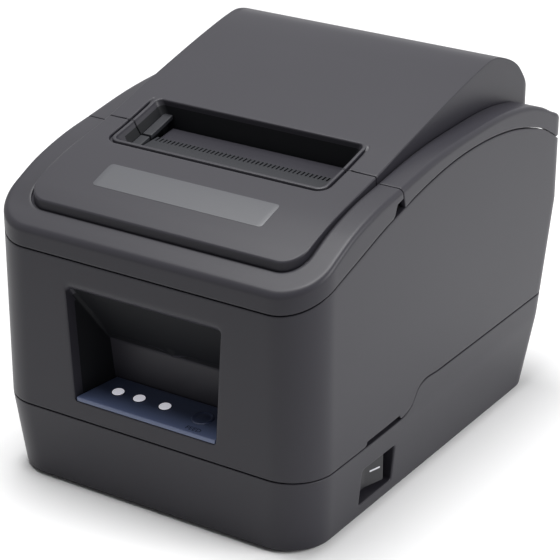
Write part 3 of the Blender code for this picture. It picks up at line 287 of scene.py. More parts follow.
@dataclass
class Surface:
    """Grid patches that are welded into one mesh, each with an optional inner face for its wall."""

    outer: list[Array] = field(default_factory=list)
    inner: list[Array] = field(default_factory=list)
    kept: list[Array] = field(default_factory=list)

    def add(self, outer: Array, inner: Array | None = None, kept: Array | None = None) -> "Surface":
        """Adds a patch.

        Args:
            outer: points of the patch, rows by columns by 3.
            inner: the matching points of the wall's inner face.
            kept: which cells are kept, rows - 1 by columns - 1.

        Returns:
            The surface itself.
        """
        self.outer.append(outer)
        self.inner.append(outer if inner is None else inner)
        cells = np.ones((outer.shape[0] - 1, outer.shape[1] - 1), bool)
        self.kept.append(cells if kept is None else kept)
        return self

    def faces(self) -> tuple[Array, Array, Array]:
        """Welded outer points, matching inner points, and four-cornered faces."""
        starts = np.cumsum([0] + [p.shape[0] * p.shape[1] for p in self.outer])
        corners = []
        for start, patch, kept in zip(starts, self.outer, self.kept):
            index = start + np.arange(patch.shape[0] * patch.shape[1]).reshape(patch.shape[:2])
            cell = np.stack([index[:-1, :-1], index[:-1, 1:], index[1:, 1:], index[1:, :-1]], axis=-1)
            corners.append(cell[kept])
        outer = np.concatenate([p.reshape(-1, 3) for p in self.outer])
        inner = np.concatenate([p.reshape(-1, 3) for p in self.inner])
        _, first, same = np.unique(np.round(outer / 2e-6).astype(np.int64), axis=0, return_index=True,
                                   return_inverse=True)
        return outer[first], inner[first], same.reshape(-1)[np.concatenate(corners)]

    def solid(self) -> tuple[Array, Array]:
        """Points and faces of the closed wall: both faces, and a rim along every open edge."""
        outer, inner, faces = self.faces()
        count = len(outer)
        edges = np.concatenate([faces[:, [i, (i + 1) % 4]] for i in range(4)])
        edges = edges[edges[:, 0] != edges[:, 1]]
        code, back = edges[:, 0] * count + edges[:, 1], edges[:, 1] * count + edges[:, 0]
        rim = edges[~np.isin(code, back)]
        walls = np.stack([rim[:, 1], rim[:, 0], rim[:, 0] + count, rim[:, 1] + count], axis=-1)
        return np.concatenate([outer, inner]), np.concatenate([faces, faces[:, ::-1] + count, walls])


def mesh_object(name: str, points: Array, faces: Array, sharp: float = 35.0) -> bpy.types.Object:
    """Object of points and four-cornered faces; a face with two corners in one place becomes a triangle.

    Args:
        name: the piece's name.
        points: points by 3, in metres.
        faces: faces by 4, as point numbers.
        sharp: angle in degrees above which an edge is drawn sharp.

    Returns:
        The object, at the origin.
    """
    fresh = faces != np.roll(faces, 1, axis=1)
    sizes = fresh.sum(axis=1)
    whole = sizes >= 3
    faces, fresh, sizes = faces[whole], fresh[whole], sizes[whole]
    mesh = bpy.data.meshes.new(name)
    mesh.vertices.add(len(points))
    mesh.vertices.foreach_set("co", np.ascontiguousarray(points, np.float32).ravel())
    mesh.loops.add(int(sizes.sum()))
    mesh.loops.foreach_set("vertex_index", faces[fresh].astype(np.int32))
    mesh.polygons.add(len(faces))
    mesh.polygons.foreach_set("loop_start", (np.cumsum(sizes) - sizes).astype(np.int32))
    mesh.update(calc_edges=True)
    mesh.validate()
    mesh.shade_smooth()
    mesh.set_sharp_from_angle(angle=math.radians(sharp))
    obj = bpy.data.objects.new(name, mesh)
    bpy.context.scene.collection.objects.link(obj)
    return obj


def outward(points: Array, faces: Array) -> Array:
    """Faces of a closed solid, turned round if its signed volume is negative.

    Args:
        points: points by 3.
        faces: faces by 4, as point numbers.

    Returns:
        The faces, pointing outwards.
    """
    a, b, c, d = (points[faces[:, i]] for i in range(4))
    volume = (a * np.cross(b, c)).sum() + (a * np.cross(c, d)).sum()
    return faces if volume > 0 else faces[:, ::-1]


@dataclass(frozen=True)
class Slab:
    """Closed plate with a rounded upper edge.

    outline(inset) gives the closed outline, drawn in by inset, as pairs; place(pairs, level) turns them to
    points, with level 0 at the upper face.
    """

    outline: Callable[[float], Array]
    place: Callable[[Array, float], Array]
    thick: float
    edge: float
    rings: int = 6

    def build(self, name: str) -> bpy.types.Object:
        """Rings from the middle of the lower face, up the side, over the edge and back to the middle.

        Args:
            name: the piece's name.

        Returns:
            The object.
        """
        whole = self.outline(0.0)
        middle = whole[:-1].mean(axis=0)
        sine, cosine = quarter(4)
        grid = [self.place(blend(middle, whole, t), -self.thick) for t in np.linspace(0, 1, self.rings + 1)]
        grid += [self.place(self.outline(self.edge * (1 - c)), -self.edge * (1 - s))
                 for s, c in zip(sine, cosine)]
        top = self.outline(self.edge)
        grid += [self.place(blend(middle, top, t), 0.0) for t in np.linspace(1, 0, self.rings + 1)[1:]]
        points, _, faces = Surface().add(np.stack(grid)).faces()
        return mesh_object(name, points, outward(points, faces))


def ring_outline(radius: float, centre: tuple[float, float], sides: int = 48) -> Callable[[float], Array]:
    """Outline of a circle, for a slab.

    Args:
        radius: the circle's radius.
        centre: its middle, as a pair.
        sides: how many steps round.

    Returns:
        The outline as a function of how far it is drawn in.
    """
    angle = np.linspace(0, 2 * math.pi, sides + 1)

    def outline(inset: float) -> Array:
        """The circle drawn in by inset."""
        return np.stack([centre[0] + (radius - inset) * np.cos(angle),
                         centre[1] + (radius - inset) * np.sin(angle)], axis=-1)

    return outline


def four_sided(corners: tuple, radius: float, per_side: int = 24) -> Callable[[float], Array]:
    """Outline of a rounded four-sided plate, for a slab.

    Args:
        corners: its corners as pairs, anticlockwise from the low left one.
        radius: radius of the corners.
        per_side: points on each side.

    Returns:
        The outline as a function of how far it is drawn in.
    """
    shape = Mouth(corners, radius, (0.0,) * 4)

    def outline(inset: float) -> Array:
        """The outline with every side moved in by inset."""
        sides = shape.sides((per_side,) * 4, (-inset,) * 4, max(radius - inset, radius * 0.3))
        return np.concatenate([side[:-1] for side in sides] + [sides[0][:1]])

    return outline


def strip_outline(path: Sequence[tuple[float, float]], half: float,
                  per_leg: int = 8) -> Callable[[float], Array]:
    """Outline of a strip of even width along a path with round bends, and with half-round ends, for a slab.

    The path's bends are rounded by averaging it with its own neighbours; each point is then moved to both
    sides along the normal.

    Args:
        path: the strip's middle line.
        half: half of its width.
        per_leg: points on each leg of the path.

    Returns:
        The outline as a function of how far it is drawn in.
    """
    legs = np.array(path, float)
    share = np.linspace(0, len(legs) - 1, per_leg * (len(legs) - 1) + 1)
    line = np.stack([np.interp(share, np.arange(len(legs)), legs[:, i]) for i in range(2)], axis=-1)
    for _ in range(6):
        line[1:-1] = (line[:-2] + 2 * line[1:-1] + line[2:]) / 4
    along = np.gradient(line, axis=0)
    along /= np.linalg.norm(along, axis=1, keepdims=True)
    normal = np.stack([-along[:, 1], along[:, 0]], axis=-1)
    turn = column(np.linspace(0, math.pi, 9)[1:-1])

    def outline(inset: float) -> Array:
        """The outline drawn in by inset.

        Args:
            inset: how far it is drawn in.

        Returns:
            The closed outline.
        """
        reach = half - inset
        tail = line[0] + reach * (normal[0] * np.cos(turn) - along[0] * np.sin(turn))
        nose = line[-1] + reach * (-normal[-1] * np.cos(turn) + along[-1] * np.sin(turn))
        loop = np.concatenate([line + normal * reach, nose[::-1], (line - normal * reach)[::-1], tail[::-1]])
        return np.concatenate([loop, loop[:1]])

    return outline


def place_on(obj: bpy.types.Object, slot: Slot, body: str, material: bpy.types.Material,
             *nodes: str) -> bpy.types.Object:
    """Gives a piece its material, rides it on a body and lets it stand for its frame nodes.

    Args:
        obj: the piece.
        slot: its finish slot; not used.
        body: the body it rides on.
        material: its material.
        nodes: the frame nodes that it replaces.

    Returns:
        The piece.
    """
    obj.data.materials.clear()
    obj.data.materials.append(material)
    if nodes:
        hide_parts(*nodes)
    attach(obj, body)
    LOG.info("%s: %d faces, rides on %s", obj.name, len(obj.data.polygons), body)
    return obj


# ---------------------------------------------------------------- finishes


def linear(hex_colour: str) -> tuple[float, float, float, float]:
    """sRGB hex colour as linear red, green, blue and 1."""
    channels = [int(hex_colour[i:i + 2], 16) / 255 for i in (0, 2, 4)]
    return (*[c / 12.92 if c <= 0.04045 else ((c + 0.055) / 1.055) ** 2.4 for c in channels], 1.0)


def add_node(tree: bpy.types.NodeTree, kind: str, inputs: dict | None = None,
             **settings: object) -> bpy.types.Node:
    """Adds a node with its settings and links.

    Args:
        tree: the node tree.
        kind: the node's type name.
        inputs: for each input, by name or number, a value or an output socket to link from.
        settings: the node's own properties.

    Returns:
        The node.
    """
    node = tree.nodes.new(kind)
    for key, value in settings.items():
        setattr(node, key, value)
    for key, value in (inputs or {}).items():
        if isinstance(value, bpy.types.NodeSocket):
            tree.links.new(value, node.inputs[key])
        else:
            node.inputs[key].default_value = value
    return node


@dataclass(frozen=True)
class Moulded:
    """Injection-moulded plastic: an even colour with a fine spark-eroded grain that scatters the gloss.

    The real grain is under 0.1 mm and too fine to show, so grain_mm is drawn a few times as coarse.
    """

    name: str
    colour: str
    rough: float
    grain_mm: float = 0.45
    grain_depth: float = 0.10
    shade: float = 0.06
    specular: float = 0.5
    painted_glow: float = 0.0

    def make(self) -> bpy.types.Material:
        """Material with a grain bump, a slow change of colour, a slight change of gloss, and a painted glow
        of emission where one is set.
        """
        made = bpy.data.materials.new(self.name)
        made.use_nodes = True
        tree = made.node_tree
        shader = tree.nodes["Principled BSDF"]
        place = add_node(tree, "ShaderNodeTexCoord").outputs["Object"]
        grain = add_node(tree, "ShaderNodeTexNoise", {"Vector": place, "Scale": 1 / (self.grain_mm * MM),
                                                      "Detail": 2.0, "Roughness": 0.6})
        drift = add_node(tree, "ShaderNodeTexNoise", {"Vector": place, "Scale": 1 / (35 * MM), "Detail": 3.0})
        base = linear(self.colour)
        dark = tuple(c * (1 - self.shade) for c in base[:3]) + (1.0,)
        light = tuple(c * (1 + self.shade) for c in base[:3]) + (1.0,)
        mix = add_node(tree, "ShaderNodeMix", {"Factor": drift.outputs["Fac"], 6: dark, 7: light},
                       data_type="RGBA")
        gloss = add_node(tree, "ShaderNodeMapRange", {
            "Value": grain.outputs["Fac"], "To Min": self.rough - 0.03, "To Max": self.rough + 0.03})
        bump = add_node(tree, "ShaderNodeBump", {"Height": grain.outputs["Fac"], "Strength": self.grain_depth,
                                                 "Distance": 0.1 * MM})
        tree.links.new(mix.outputs[2], shader.inputs["Base Color"])
        tree.links.new(gloss.outputs["Result"], shader.inputs["Roughness"])
        tree.links.new(bump.outputs["Normal"], shader.inputs["Normal"])
        shader.inputs["Specular IOR Level"].default_value = self.specular
        shader.inputs["IOR"].default_value = 1.5
        # Painted glow: emission in the base colour, set only for the lenses.
        shader.inputs["Emission Color"].default_value = base
        shader.inputs["Emission Strength"].default_value = self.painted_glow
        return made


@dataclass(frozen=True)
class Metal:
    """Worked metal: rolling or turning leaves fine lines along one axis, which stretch the gloss.

    The real lines are under 0.1 mm apart and too fine to show, so line_mm is drawn coarser.
    """

    name: str
    colour: str
    rough: float
    line_mm: float = 0.5
    along: int = 0

    def make(self) -> bpy.types.Material:
        """Material whose noise is stretched along one axis, for colour, gloss and a slight bump."""
        made = bpy.data.materials.new(self.name)
        made.use_nodes = True
        tree = made.node_tree
        shader = tree.nodes["Principled BSDF"]
        place = add_node(tree, "ShaderNodeTexCoord").outputs["Object"]
        scale = [1.0, 1.0, 1.0]
        scale[self.along] = 0.06
        stretched = add_node(tree, "ShaderNodeMapping", {"Vector": place, "Scale": scale})
        lines = add_node(tree, "ShaderNodeTexNoise", {"Vector": stretched.outputs["Vector"],
                                                      "Scale": 1 / (self.line_mm * MM), "Detail": 3.0})
        base = linear(self.colour)
        dark = tuple(c * 0.88 for c in base[:3]) + (1.0,)
        mix = add_node(tree, "ShaderNodeMix", {"Factor": lines.outputs["Fac"], 6: dark, 7: base},
                       data_type="RGBA")
        gloss = add_node(tree, "ShaderNodeMapRange", {
            "Value": lines.outputs["Fac"], "To Min": self.rough - 0.06, "To Max": self.rough + 0.08})
        bump = add_node(tree, "ShaderNodeBump", {"Height": lines.outputs["Fac"], "Strength": 0.08,
                                                 "Distance": 0.05 * MM})
        tree.links.new(mix.outputs[2], shader.inputs["Base Color"])
        tree.links.new(gloss.outputs["Result"], shader.inputs["Roughness"])
        tree.links.new(bump.outputs["Normal"], shader.inputs["Normal"])
        shader.inputs["Metallic"].default_value = 1.0
        return made


# Casings: near-black grey ABS whose eroded grain breaks the gloss up softly.
CHARCOAL_ABS = Moulded("charcoal_abs_spark_eroded", "28272D", 0.4, specular=0.26)
# Inner mouldings and the paper slot: plain black ABS, darker and with a finer grain.
BLACK_ABS = Moulded("black_abs", "19191C", 0.42, grain_depth=0.06, specular=0.3)
SLOT_ABS = Moulded("dark_abs_slot", "202125", 0.5, grain_depth=0.06, specular=0.25)
# Walls deep in the window and the slot: painted shade, a darker and matte material in place of the shade that
# falls deep in the recesses; the real walls are most likely the casing's own plastic.
RECESS_PAINTED_SHADE = Moulded("black_abs_painted_recess_shade", "0F1013", 0.55, grain_depth=0.06, specular=0.15)
# Rocker: polished black ABS with a sharper gloss than the casing.
ROCKER_ABS = Moulded("black_abs_rocker", "232326", 0.34, grain_depth=0.02, specular=0.4)
# Control panel and button: smooth blue-grey polyester film.
PANEL_FILM = Moulded("tinted_polyester_film", "505B79", 0.33, grain_mm=1.2, grain_depth=0.03, shade=0.04)
BUTTON_FILM = Moulded("button_film_domed", "434D6B", 0.3, grain_mm=1.2, grain_depth=0.02)
# Lenses: milky polycarbonate with a painted glow: a slight emission makes them look brighter than the lamps
# alone make them, though they give no light of their own.
LENS_PAINTED_GLOW = Moulded("milky_polycarbonate_painted_glow", "F6F6FF", 0.25, grain_mm=1.0, grain_depth=0.0, shade=0.02,
                     painted_glow=0.42)
# Sticker: bare vinyl of one neutral colour.
STICKER_FILM = Moulded("neutral_vinyl_film", "37383D", 0.42, grain_mm=0.8, grain_depth=0.04, shade=0.03)
# Printed marks: flat ink, dark on the film and pale on the rocker.
LEGEND_INK = Moulded("screen_ink_dark", "0A0C16", 0.6, grain_depth=0.0, specular=0.15)
LEGEND_WHITE = Moulded("pad_print_pale", "C9C9CE", 0.5, grain_depth=0.0)
# Feet and platen: dull rubber with hardly any gloss.
RUBBER = Moulded("moulded_rubber", "202020", 0.8, grain_depth=0.2)
# Gears and bushes: off-white acetal, slightly waxy.
ACETAL = Moulded("moulded_acetal", "D6D6D0", 0.42, grain_depth=0.03)
# Boards: green solder resist, mottled by the copper under it.
BOARD = Moulded("green_solder_resist", "1D5834", 0.4, grain_mm=0.8, grain_depth=0.05, shade=0.12)
# Metal parts: dull zinc plate, extruded aluminium and turned brass, each with its lines of working.
STEEL = Metal("zinc_plated_steel", "A6A8AB", 0.36)
ALUMINIUM = Metal("extruded_aluminium", "B7B9BB", 0.4)
BRASS = Metal("turned_brass", "B38C48", 0.34)

NODE_FINISHES: dict[Slot, tuple[str, ...]] = {
    Slot.STEEL: ("mechanism_frame", "feed_motor", "idler_pin", "cutter_plate", "cutter_motor", "cutter_post",
                 "blade_keeper", "head_spring", "lid_hinge_pin", "cover_hinge_pin", "casing_screw",
                 "fixed_blade", "platen_shaft", "motor_shaft", "moving_blade"),
    Slot.ALUMINIUM: ("head_heat_sink",),
    Slot.BRASS: ("motor_pinion",),
    Slot.ACETAL: ("print_head", "platen_bush", "platen_gear", "idler_gear", "cutter_gear"),
    Slot.BOARD: ("panel_board", "main_board"),
    Slot.RUBBER: ("foot", "platen_rubber"),
    Slot.CHARCOAL: ("lid_frame",),
}
SLOT_LOOKS = {Slot.STEEL: STEEL, Slot.ALUMINIUM: ALUMINIUM, Slot.BRASS: BRASS, Slot.ACETAL: ACETAL,
              Slot.BOARD: BOARD, Slot.RUBBER: RUBBER, Slot.BLACK: BLACK_ABS, Slot.CHARCOAL: CHARCOAL_ABS,
              Slot.FILM: PANEL_FILM, Slot.LENS: LENS_PAINTED_GLOW}


class Paintbox:
    """Makes each material once, when it is first asked for."""

    def __init__(self) -> None:
        """Starts with no material made."""
        self.made: dict[str, bpy.types.Material] = {}

    def get(self, look: Moulded | Metal) -> bpy.types.Material:
        """The material of a finish.

        Args:
            look: the finish.

        Returns:
            The material.
        """
        if look.name not in self.made:
            self.made[look.name] = look.make()
        return self.made[look.name]

    def dress_nodes(self) -> None:
        """Gives every frame node the procedural finish of its kind."""
        for name, node in frame["nodes"].items():
            slot = next((s for s, heads in NODE_FINISHES.items() if name.startswith(heads)), Slot.BLACK)
            node.data.materials.clear()
            node.data.materials.append(self.get(SLOT_LOOKS[slot]))


# ---------------------------------------------------------------- casings


def paint_shade(obj: bpy.types.Object, material: bpy.types.Material, inside: Callable[[Array], Array]) -> None:
    """Gives a second material to the faces whose middles lie inside a region; it is used to paint shade into
    recesses.

    Args:
        obj: the piece.
        material: the second material.
        inside: which of the (across, depth, height) places are in the region.
    """
    mesh = obj.data
    mesh.materials.append(material)
    middle = np.empty(len(mesh.polygons) * 3, np.float32)
    mesh.polygons.foreach_get("center", middle)
    place = middle.reshape(-1, 3) + np.array([0, Casing.DEPTH / 2, -Casing.FOOT_STAND])
    mesh.polygons.foreach_set("material_index", inside(place.T).astype(np.int32))
    mesh.update()


@dataclass(frozen=True)
class Casing:
    """Sizes and outline that all the shells share."""

    DEPTH = 201 * MM
    FOOT_STAND = 1 * MM
    half: float = 72.5 * MM
    front_corner: float = 17.5 * MM
    back_corner: float = 11.5 * MM
    draft: float = 3 * MM
    draft_top: float = 31 * MM
    lean: float = 19 * MM
    lean_top: float = 80 * MM
    wall: float = 2.2 * MM
    gap: float = 0.45 * MM
    edge: float = 0.4 * MM

    def section(self, stations: Stations, height: Array, inset: float = 0.0) -> tuple[Array, Array]:
        """Outline at a height: the base tapers inwards and the back leans in.

        Args:
            stations: places round the outline.
            height: height of each place.
            inset: how far the outline is drawn in.

        Returns:
            Across and depth of each place.
        """
        draft = self.draft * np.clip(1 - height / self.draft_top, 0, None) + inset
        back = self.DEPTH - self.lean * np.clip(1 - height / self.lean_top, 0, None) - inset
        return stations.outline(-self.half + draft, self.half - draft, draft, back,
                                self.front_corner - inset, self.back_corner - inset)

    def follow(self, stations: Stations, line: Callable[[Array], Array], start: float) -> Array:
        """Height of a seam line at each station, found by repeating depth, then height, four times.

        Args:
            stations: places round the outline.
            line: height as a function of depth.
            start: height to start from.

        Returns:
            The heights.
        """
        height = np.full(len(stations.across), start)
        for _ in range(4):
            height = line(self.section(stations, height)[1])
        return height

    def wall_patch(self, stations: Stations, height: Array, low_edge: float,
                   high_edge: float) -> tuple[Array, Array]:
        """Wall with rounded lower and upper edges.

        At each end a quarter circle turns the wall inwards: with the angle running from 0 to 90 degrees,
        inset = radius (1 - sine) and height = end + radius (1 - cosine).

        Args:
            stations: places round the outline.
            height: heights, rows by stations; the first and last rows are the two ends.
            low_edge: radius of the lower edge.
            high_edge: radius of the upper edge.

        Returns:
            The outer and the inner grid.
        """
        sine, cosine = quarter(EDGE_STEPS)
        foot = height[:1] + low_edge * column(1 - cosine)
        top = height[-1:] - high_edge * column(1 - cosine)[::-1]
        tall = np.concatenate([foot, height[1:-1], top])
        inset = np.concatenate([low_edge * (1 - sine), np.zeros(len(height) - 2),
                                high_edge * (1 - sine)[::-1]])
        pull = column(inset) / self.wall
        outer_x, outer_d = self.section(stations, tall)
        inner_x, inner_d = self.section(stations, tall, self.wall)
        return (world(blend(outer_x, inner_x, pull), blend(outer_d, inner_d, pull), tall),
                world(inner_x, inner_d, tall))


CASING = Casing()


def block_border(grid: Array, rows: slice, columns: slice) -> list[Array]:
    """The four sides of a block of a grid, anticlockwise from its low left corner, each with both ends."""
    block = grid[rows, columns]
    return [block[0], block[:, -1], block[-1, ::-1], block[::-1, 0]]


@dataclass(frozen=True)
class Mouth:
    """Opening in a flat wall: a rounded four-sided outline, a lip that curls in, and a recess behind it.

    The outline's corners are (along, up) pairs, anticlockwise from the low left one, in metres. lips are
    the lip's radii at the low, right, high and left sides.
    """

    corners: tuple[tuple[float, float], ...]
    round: float
    lips: tuple[float, float, float, float]
    arc: int = 5

    def sides(self, counts: Sequence[int], grow: Sequence[float], radius: float) -> list[Array]:
        """Points of the four sides, each from the middle of one corner's arc to the middle of the next.

        Args:
            counts: points on each side.
            grow: how far each side is moved outwards.
            radius: corner radius.

        Returns:
            Four arrays of (along, up).
        """
        points = np.array(self.corners, float)
        along = np.roll(points, -1, axis=0) - points
        along /= np.linalg.norm(along, axis=1, keepdims=True)
        out = np.stack([along[:, 1], -along[:, 0]], axis=-1)
        start = points + out * column(grow)
        crossing = []
        for i in range(4):
            before = (i - 1) % 4
            matrix = np.array([along[before], -along[i]]).T
            share = np.linalg.solve(matrix, start[i] - start[before])
            crossing.append(start[before] + along[before] * share[0])
        arcs = []
        for i in range(4):
            before = (i - 1) % 4
            cosine = float(along[before] @ along[i])
            half_turn = math.acos(cosine) / 2
            reach = radius * math.tan(half_turn)
            centre = crossing[i] - along[before] * reach - out[before] * radius
            angle = column(np.linspace(-half_turn, half_turn, 2 * self.arc - 1))
            middle = out[before] + out[i]
            middle /= np.linalg.norm(middle)
            tangent = np.array([-middle[1], middle[0]])
            arcs.append(centre + radius * (middle * np.cos(angle) + tangent * np.sin(angle)))
        made = []
        for i, count in enumerate(counts):
            first, last = arcs[i][self.arc - 1:], arcs[(i + 1) % 4][:self.arc]
            share = column(np.linspace(0, 1, count - 2 * self.arc + 2)[1:-1])
            made.append(np.concatenate([first, blend(first[-1], last[0], share), last]))
        return made

    def lip_radii(self, counts: Sequence[int]) -> list[Array]:
        """Lip radius at every point of the four sides: a side's own radius, eased at the corners.

        Args:
            counts: points on each side.

        Returns:
            Four arrays of radii.
        """
        made = []
        for i, count in enumerate(counts):
            here, before, after = self.lips[i], self.lips[i - 1], self.lips[(i + 1) % 4]
            t = np.linspace(0, 1, count)
            ease = smoothstep(t / 0.12)
            leave = smoothstep((1 - t) / 0.12)
            start = (here + before) / 2
            end = (here + after) / 2
            made.append(here + (start - here) * (1 - ease) + (end - here) * (1 - leave))
        return made


@dataclass
class BaseShell:
    """Lower casing with the rocker switch opening in its right side and the sockets' openings at the back."""

    underside_edge: float = 1.1 * MM
    switch: tuple[float, float, float, float] = (40.5 * MM, 64.5 * MM, 5.5 * MM, 21 * MM)
    switch_block: tuple[float, float, float, float] = (34 * MM, 71 * MM, 3 * MM, 25.2 * MM)
    switch_recess: float = 8 * MM
    sockets: tuple[tuple[float, float, float], ...] = (
        (15.7 * MM, 47.3 * MM, 21.9 * MM), (-6.3 * MM, 6.3 * MM, 20.9 * MM),
        (-29.3 * MM, -14.7 * MM, 23.9 * MM), (-52.3 * MM, -36.7 * MM, 22.9 * MM))
    sockets_low: float = 9.3 * MM

    def stations(self) -> tuple[Stations, list[int]]:
        """Places round the whole outline from the switch block's front end, and where each socket starts."""
        front, back, _, _ = self.switch_block
        marks = [x for left, right, _ in self.sockets for x in (right, left)]
        places = [end_place(True, False)] + [([0, 0, 0, 0, x], [0, 1, 0, 0, 0]) for x in marks]
        places.append(end_place(False, False))
        lead = [line_stretch(side_place(True, front), side_place(True, back), 36),
                line_stretch(side_place(True, back), side_place(True, front=False), 70),
                arc_stretch(Corner.BACK_RIGHT, 12)]
        rear = [line_stretch(a, b, 6) for a, b in zip(places, places[1:])]
        tail = [arc_stretch(Corner.BACK_LEFT, 12),
                line_stretch(side_place(False, front=False), side_place(False), 110),
                arc_stretch(Corner.FRONT_LEFT, 18),
                line_stretch(end_place(False, True), end_place(True, True), 60),
                arc_stretch(Corner.FRONT_RIGHT, 18),
                line_stretch(side_place(True), side_place(True, front), 12)]
        start = 36 + 70 + 12
        return (chain(*lead, *rear, *tail, close=side_place(True, front)),
                [start + 6 * (2 * i + 1) for i in range(len(self.sockets))])

    def build(self, paint: Paintbox) -> None:
        """Builds the base's wall, its underside and the switch opening.

        Args:
            paint: where the materials come from.
        """
        stations, marks = self.stations()
        seam = CASING.follow(stations, BASE_SEAM, 35 * MM) - CASING.gap / 2
        levels = sorted({self.sockets_low, *[top for _, _, top in self.sockets], *self.switch_block[2:]})
        fixed = np.concatenate([[0.0], np.linspace(self.underside_edge, levels[0], 3)[:-1],
                                *[np.linspace(a, b, 4)[:-1] for a, b in zip(levels, levels[1:])],
                                levels[-1:]])
        shares = column(np.linspace(0, 1, 7)[1:])
        rows = np.concatenate([np.broadcast_to(column(fixed), (len(fixed), len(seam))),
                               blend(np.full(len(seam), levels[-1]), seam, shares)])
        rows[-2:-1] = rows[-1:] - CASING.edge * 1.6
        outer, inner = CASING.wall_patch(stations, rows, self.underside_edge, CASING.edge)
        kept = np.ones((outer.shape[0] - 1, outer.shape[1] - 1), bool)
        low = EDGE_STEPS + int(np.argmin(abs(fixed - self.sockets_low)))
        for start, (_, _, top) in zip(marks, self.sockets):
            kept[low:EDGE_STEPS + int(np.argmin(abs(fixed - top))), start:start + 6] = False
        first = EDGE_STEPS + int(np.argmin(abs(fixed - self.switch_block[2])))
        last = EDGE_STEPS + int(np.argmin(abs(fixed - self.switch_block[3])))
        kept[first:last, :36] = False
        surface = Surface().add(outer, inner, kept)
        self.add_underside(surface, outer, inner)
        self.add_switch_mouth(surface, outer, inner, slice(first, last + 1), slice(0, 37))
        points, faces = surface.solid()
        obj = mesh_object("base_shell", points, faces)
        place_on(obj, Slot.CHARCOAL, "chassis", paint.get(CHARCOAL_ABS), "base_casing")

    def add_underside(self, surface: Surface, outer: Array, inner: Array) -> None:
        """Closes the underside: the wall's lowest row shrinks evenly to the middle of the base.

        Args:
            surface: what the patches are added to.
            outer: points of the wall's outer face.
            inner: points of the wall's inner face.
        """
        share = np.linspace(0, 1, 9)[:, None, None]
        lowest, raised = outer[0], inner[0] + np.array([0, 0, CASING.wall])
        plate_out = blend(lowest[0] * np.array([0, 0, 1]), lowest, share)
        plate_in = blend(raised[0] * np.array([0, 0, 1]), raised, share)
        plate_in[-1] = inner[0]
        surface.add(plate_out, plate_in)

    def add_switch_mouth(self, surface: Surface, outer: Array, inner: Array, rows: slice,
                         columns: slice) -> None:
        """Opening of the power switch: wall, small lip and the recess's four sides.

        Args:
            surface: what the patches are added to.
            outer: points of the wall's outer face.
            inner: points of the wall's inner face.
            rows: rows of the hole.
            columns: columns of the hole.
        """
        front, back, low, high = self.switch
        mouth = Mouth(((front, low), (back, low), (back, high), (front, high)), 1.2 * MM, (0.7 * MM,) * 4)

        def on_wall(flat: Array, inwards: Array) -> Array:
            """Point of the right wall at (depth, height), moved inwards."""
            half = CASING.half - CASING.draft * np.clip(1 - flat[..., 1] / CASING.draft_top, 0, None)
            return world(half - inwards, flat[..., 0], flat[..., 1])

        add_mouth(surface, mouth, [block_border(g, rows, columns) for g in (outer, inner)], on_wall,
                  self.switch_recess, (0.0, 0.0), 1.2 * MM, closed_back=False)


def add_mouth(surface: Surface, mouth: Mouth, borders: list[list[Array]],
              on_wall: Callable[[Array, Array], Array], recess: float, shrink: tuple[float, float],
              thick: float, closed_back: bool,
              floor: Callable[[Array], Array] | None = None) -> None:
    """Adds an opening to a wall.

    Rings run from the border of the hole left in the wall to the lip's outer line, over the lip as a
    quarter circle, and back along the recess, whose outline shrinks evenly with depth.

    Args:
        surface: what the patches are added to.
        mouth: the opening.
        borders: the hole's four sides on the outer and on the inner face of the wall.
        on_wall: turns (along, up) and a depth into the wall to points.
        recess: how deep the recess is.
        shrink: how much the outline's sides and its top move in over the recess.
        thick: wall of the recess.
        closed_back: whether a back wall closes the recess.
        floor: lowest height of the recess at a depth.
    """
    counts = [len(side) for side in borders[0]]
    lips = mouth.lip_radii(counts)
    plain = mouth.sides(counts, (0, 0, 0, 0), mouth.round)
    middle = np.array(mouth.corners, float).mean(axis=0)
    wide = np.array(mouth.corners, float)[:, 0]
    reach = (wide.max() - wide.min()) / 2
    low, high = np.array(mouth.corners, float)[:, 1].min(), np.array(mouth.corners, float)[:, 1].max()
    back_middle = np.array([middle[0], middle[1] - shrink[1] * (middle[1] - low) / (high - low)])
    for i in range(4):
        corner = plain[i]
        grown = mouth.sides(counts, tuple(mouth.lips), mouth.round + max(mouth.lips) * 0.5)[i]
        sine, cosine = quarter(6)
        outer_rows, inner_rows = [], []
        for t in np.linspace(0, 1, 7)[:-1]:
            outer_rows.append(blend(borders[0][i], on_wall(grown, np.zeros(len(grown))), t))
            inner_rows.append(blend(borders[1][i], on_wall(grown, np.full(len(grown), CASING.wall)), t))
        for s, c in zip(sine, cosine):
            flat = grown + (corner - grown) * s
            outer_rows.append(on_wall(flat, lips[i] * (1 - c)))
            inner_rows.append(on_wall(grown, np.full(len(grown), CASING.wall)))
        for t in np.linspace(0, 1, 12)[1:]:
            flat = corner - np.stack([(corner[:, 0] - middle[0]) / reach * shrink[0] * t,
                                      (corner[:, 1] - low) / (high - low) * shrink[1] * t], axis=-1)
            into = lips[i] + (recess - lips[i]) * t
            if floor is not None:
                rise = floor(into) - floor(np.zeros(1))
                flat[:, 1] += rise * np.clip(1 - (flat[:, 1] - mouth.corners[0][1]) / (8 * MM), 0, 1)
            outer_rows.append(on_wall(flat, into))
            back_out = (flat - middle) / np.linalg.norm(flat - middle, axis=1, keepdims=True) * thick
            inner_rows.append(on_wall(flat + back_out, np.maximum(into, CASING.wall)))
        if closed_back:
            last, last_in = outer_rows[-1], inner_rows[-1]
            centre = on_wall(back_middle, np.array(recess))
            centre_in = on_wall(back_middle, np.array(recess + thick))
            inner_rows[-1] = last_in + (centre_in - centre)
            for t in np.linspace(0, 1, 9)[1:]:
                outer_rows.append(blend(last, centre, t))
                inner_rows.append(blend(last_in + (centre_in - centre), centre_in, t))
        surface.add(np.stack(outer_rows), np.stack(inner_rows))


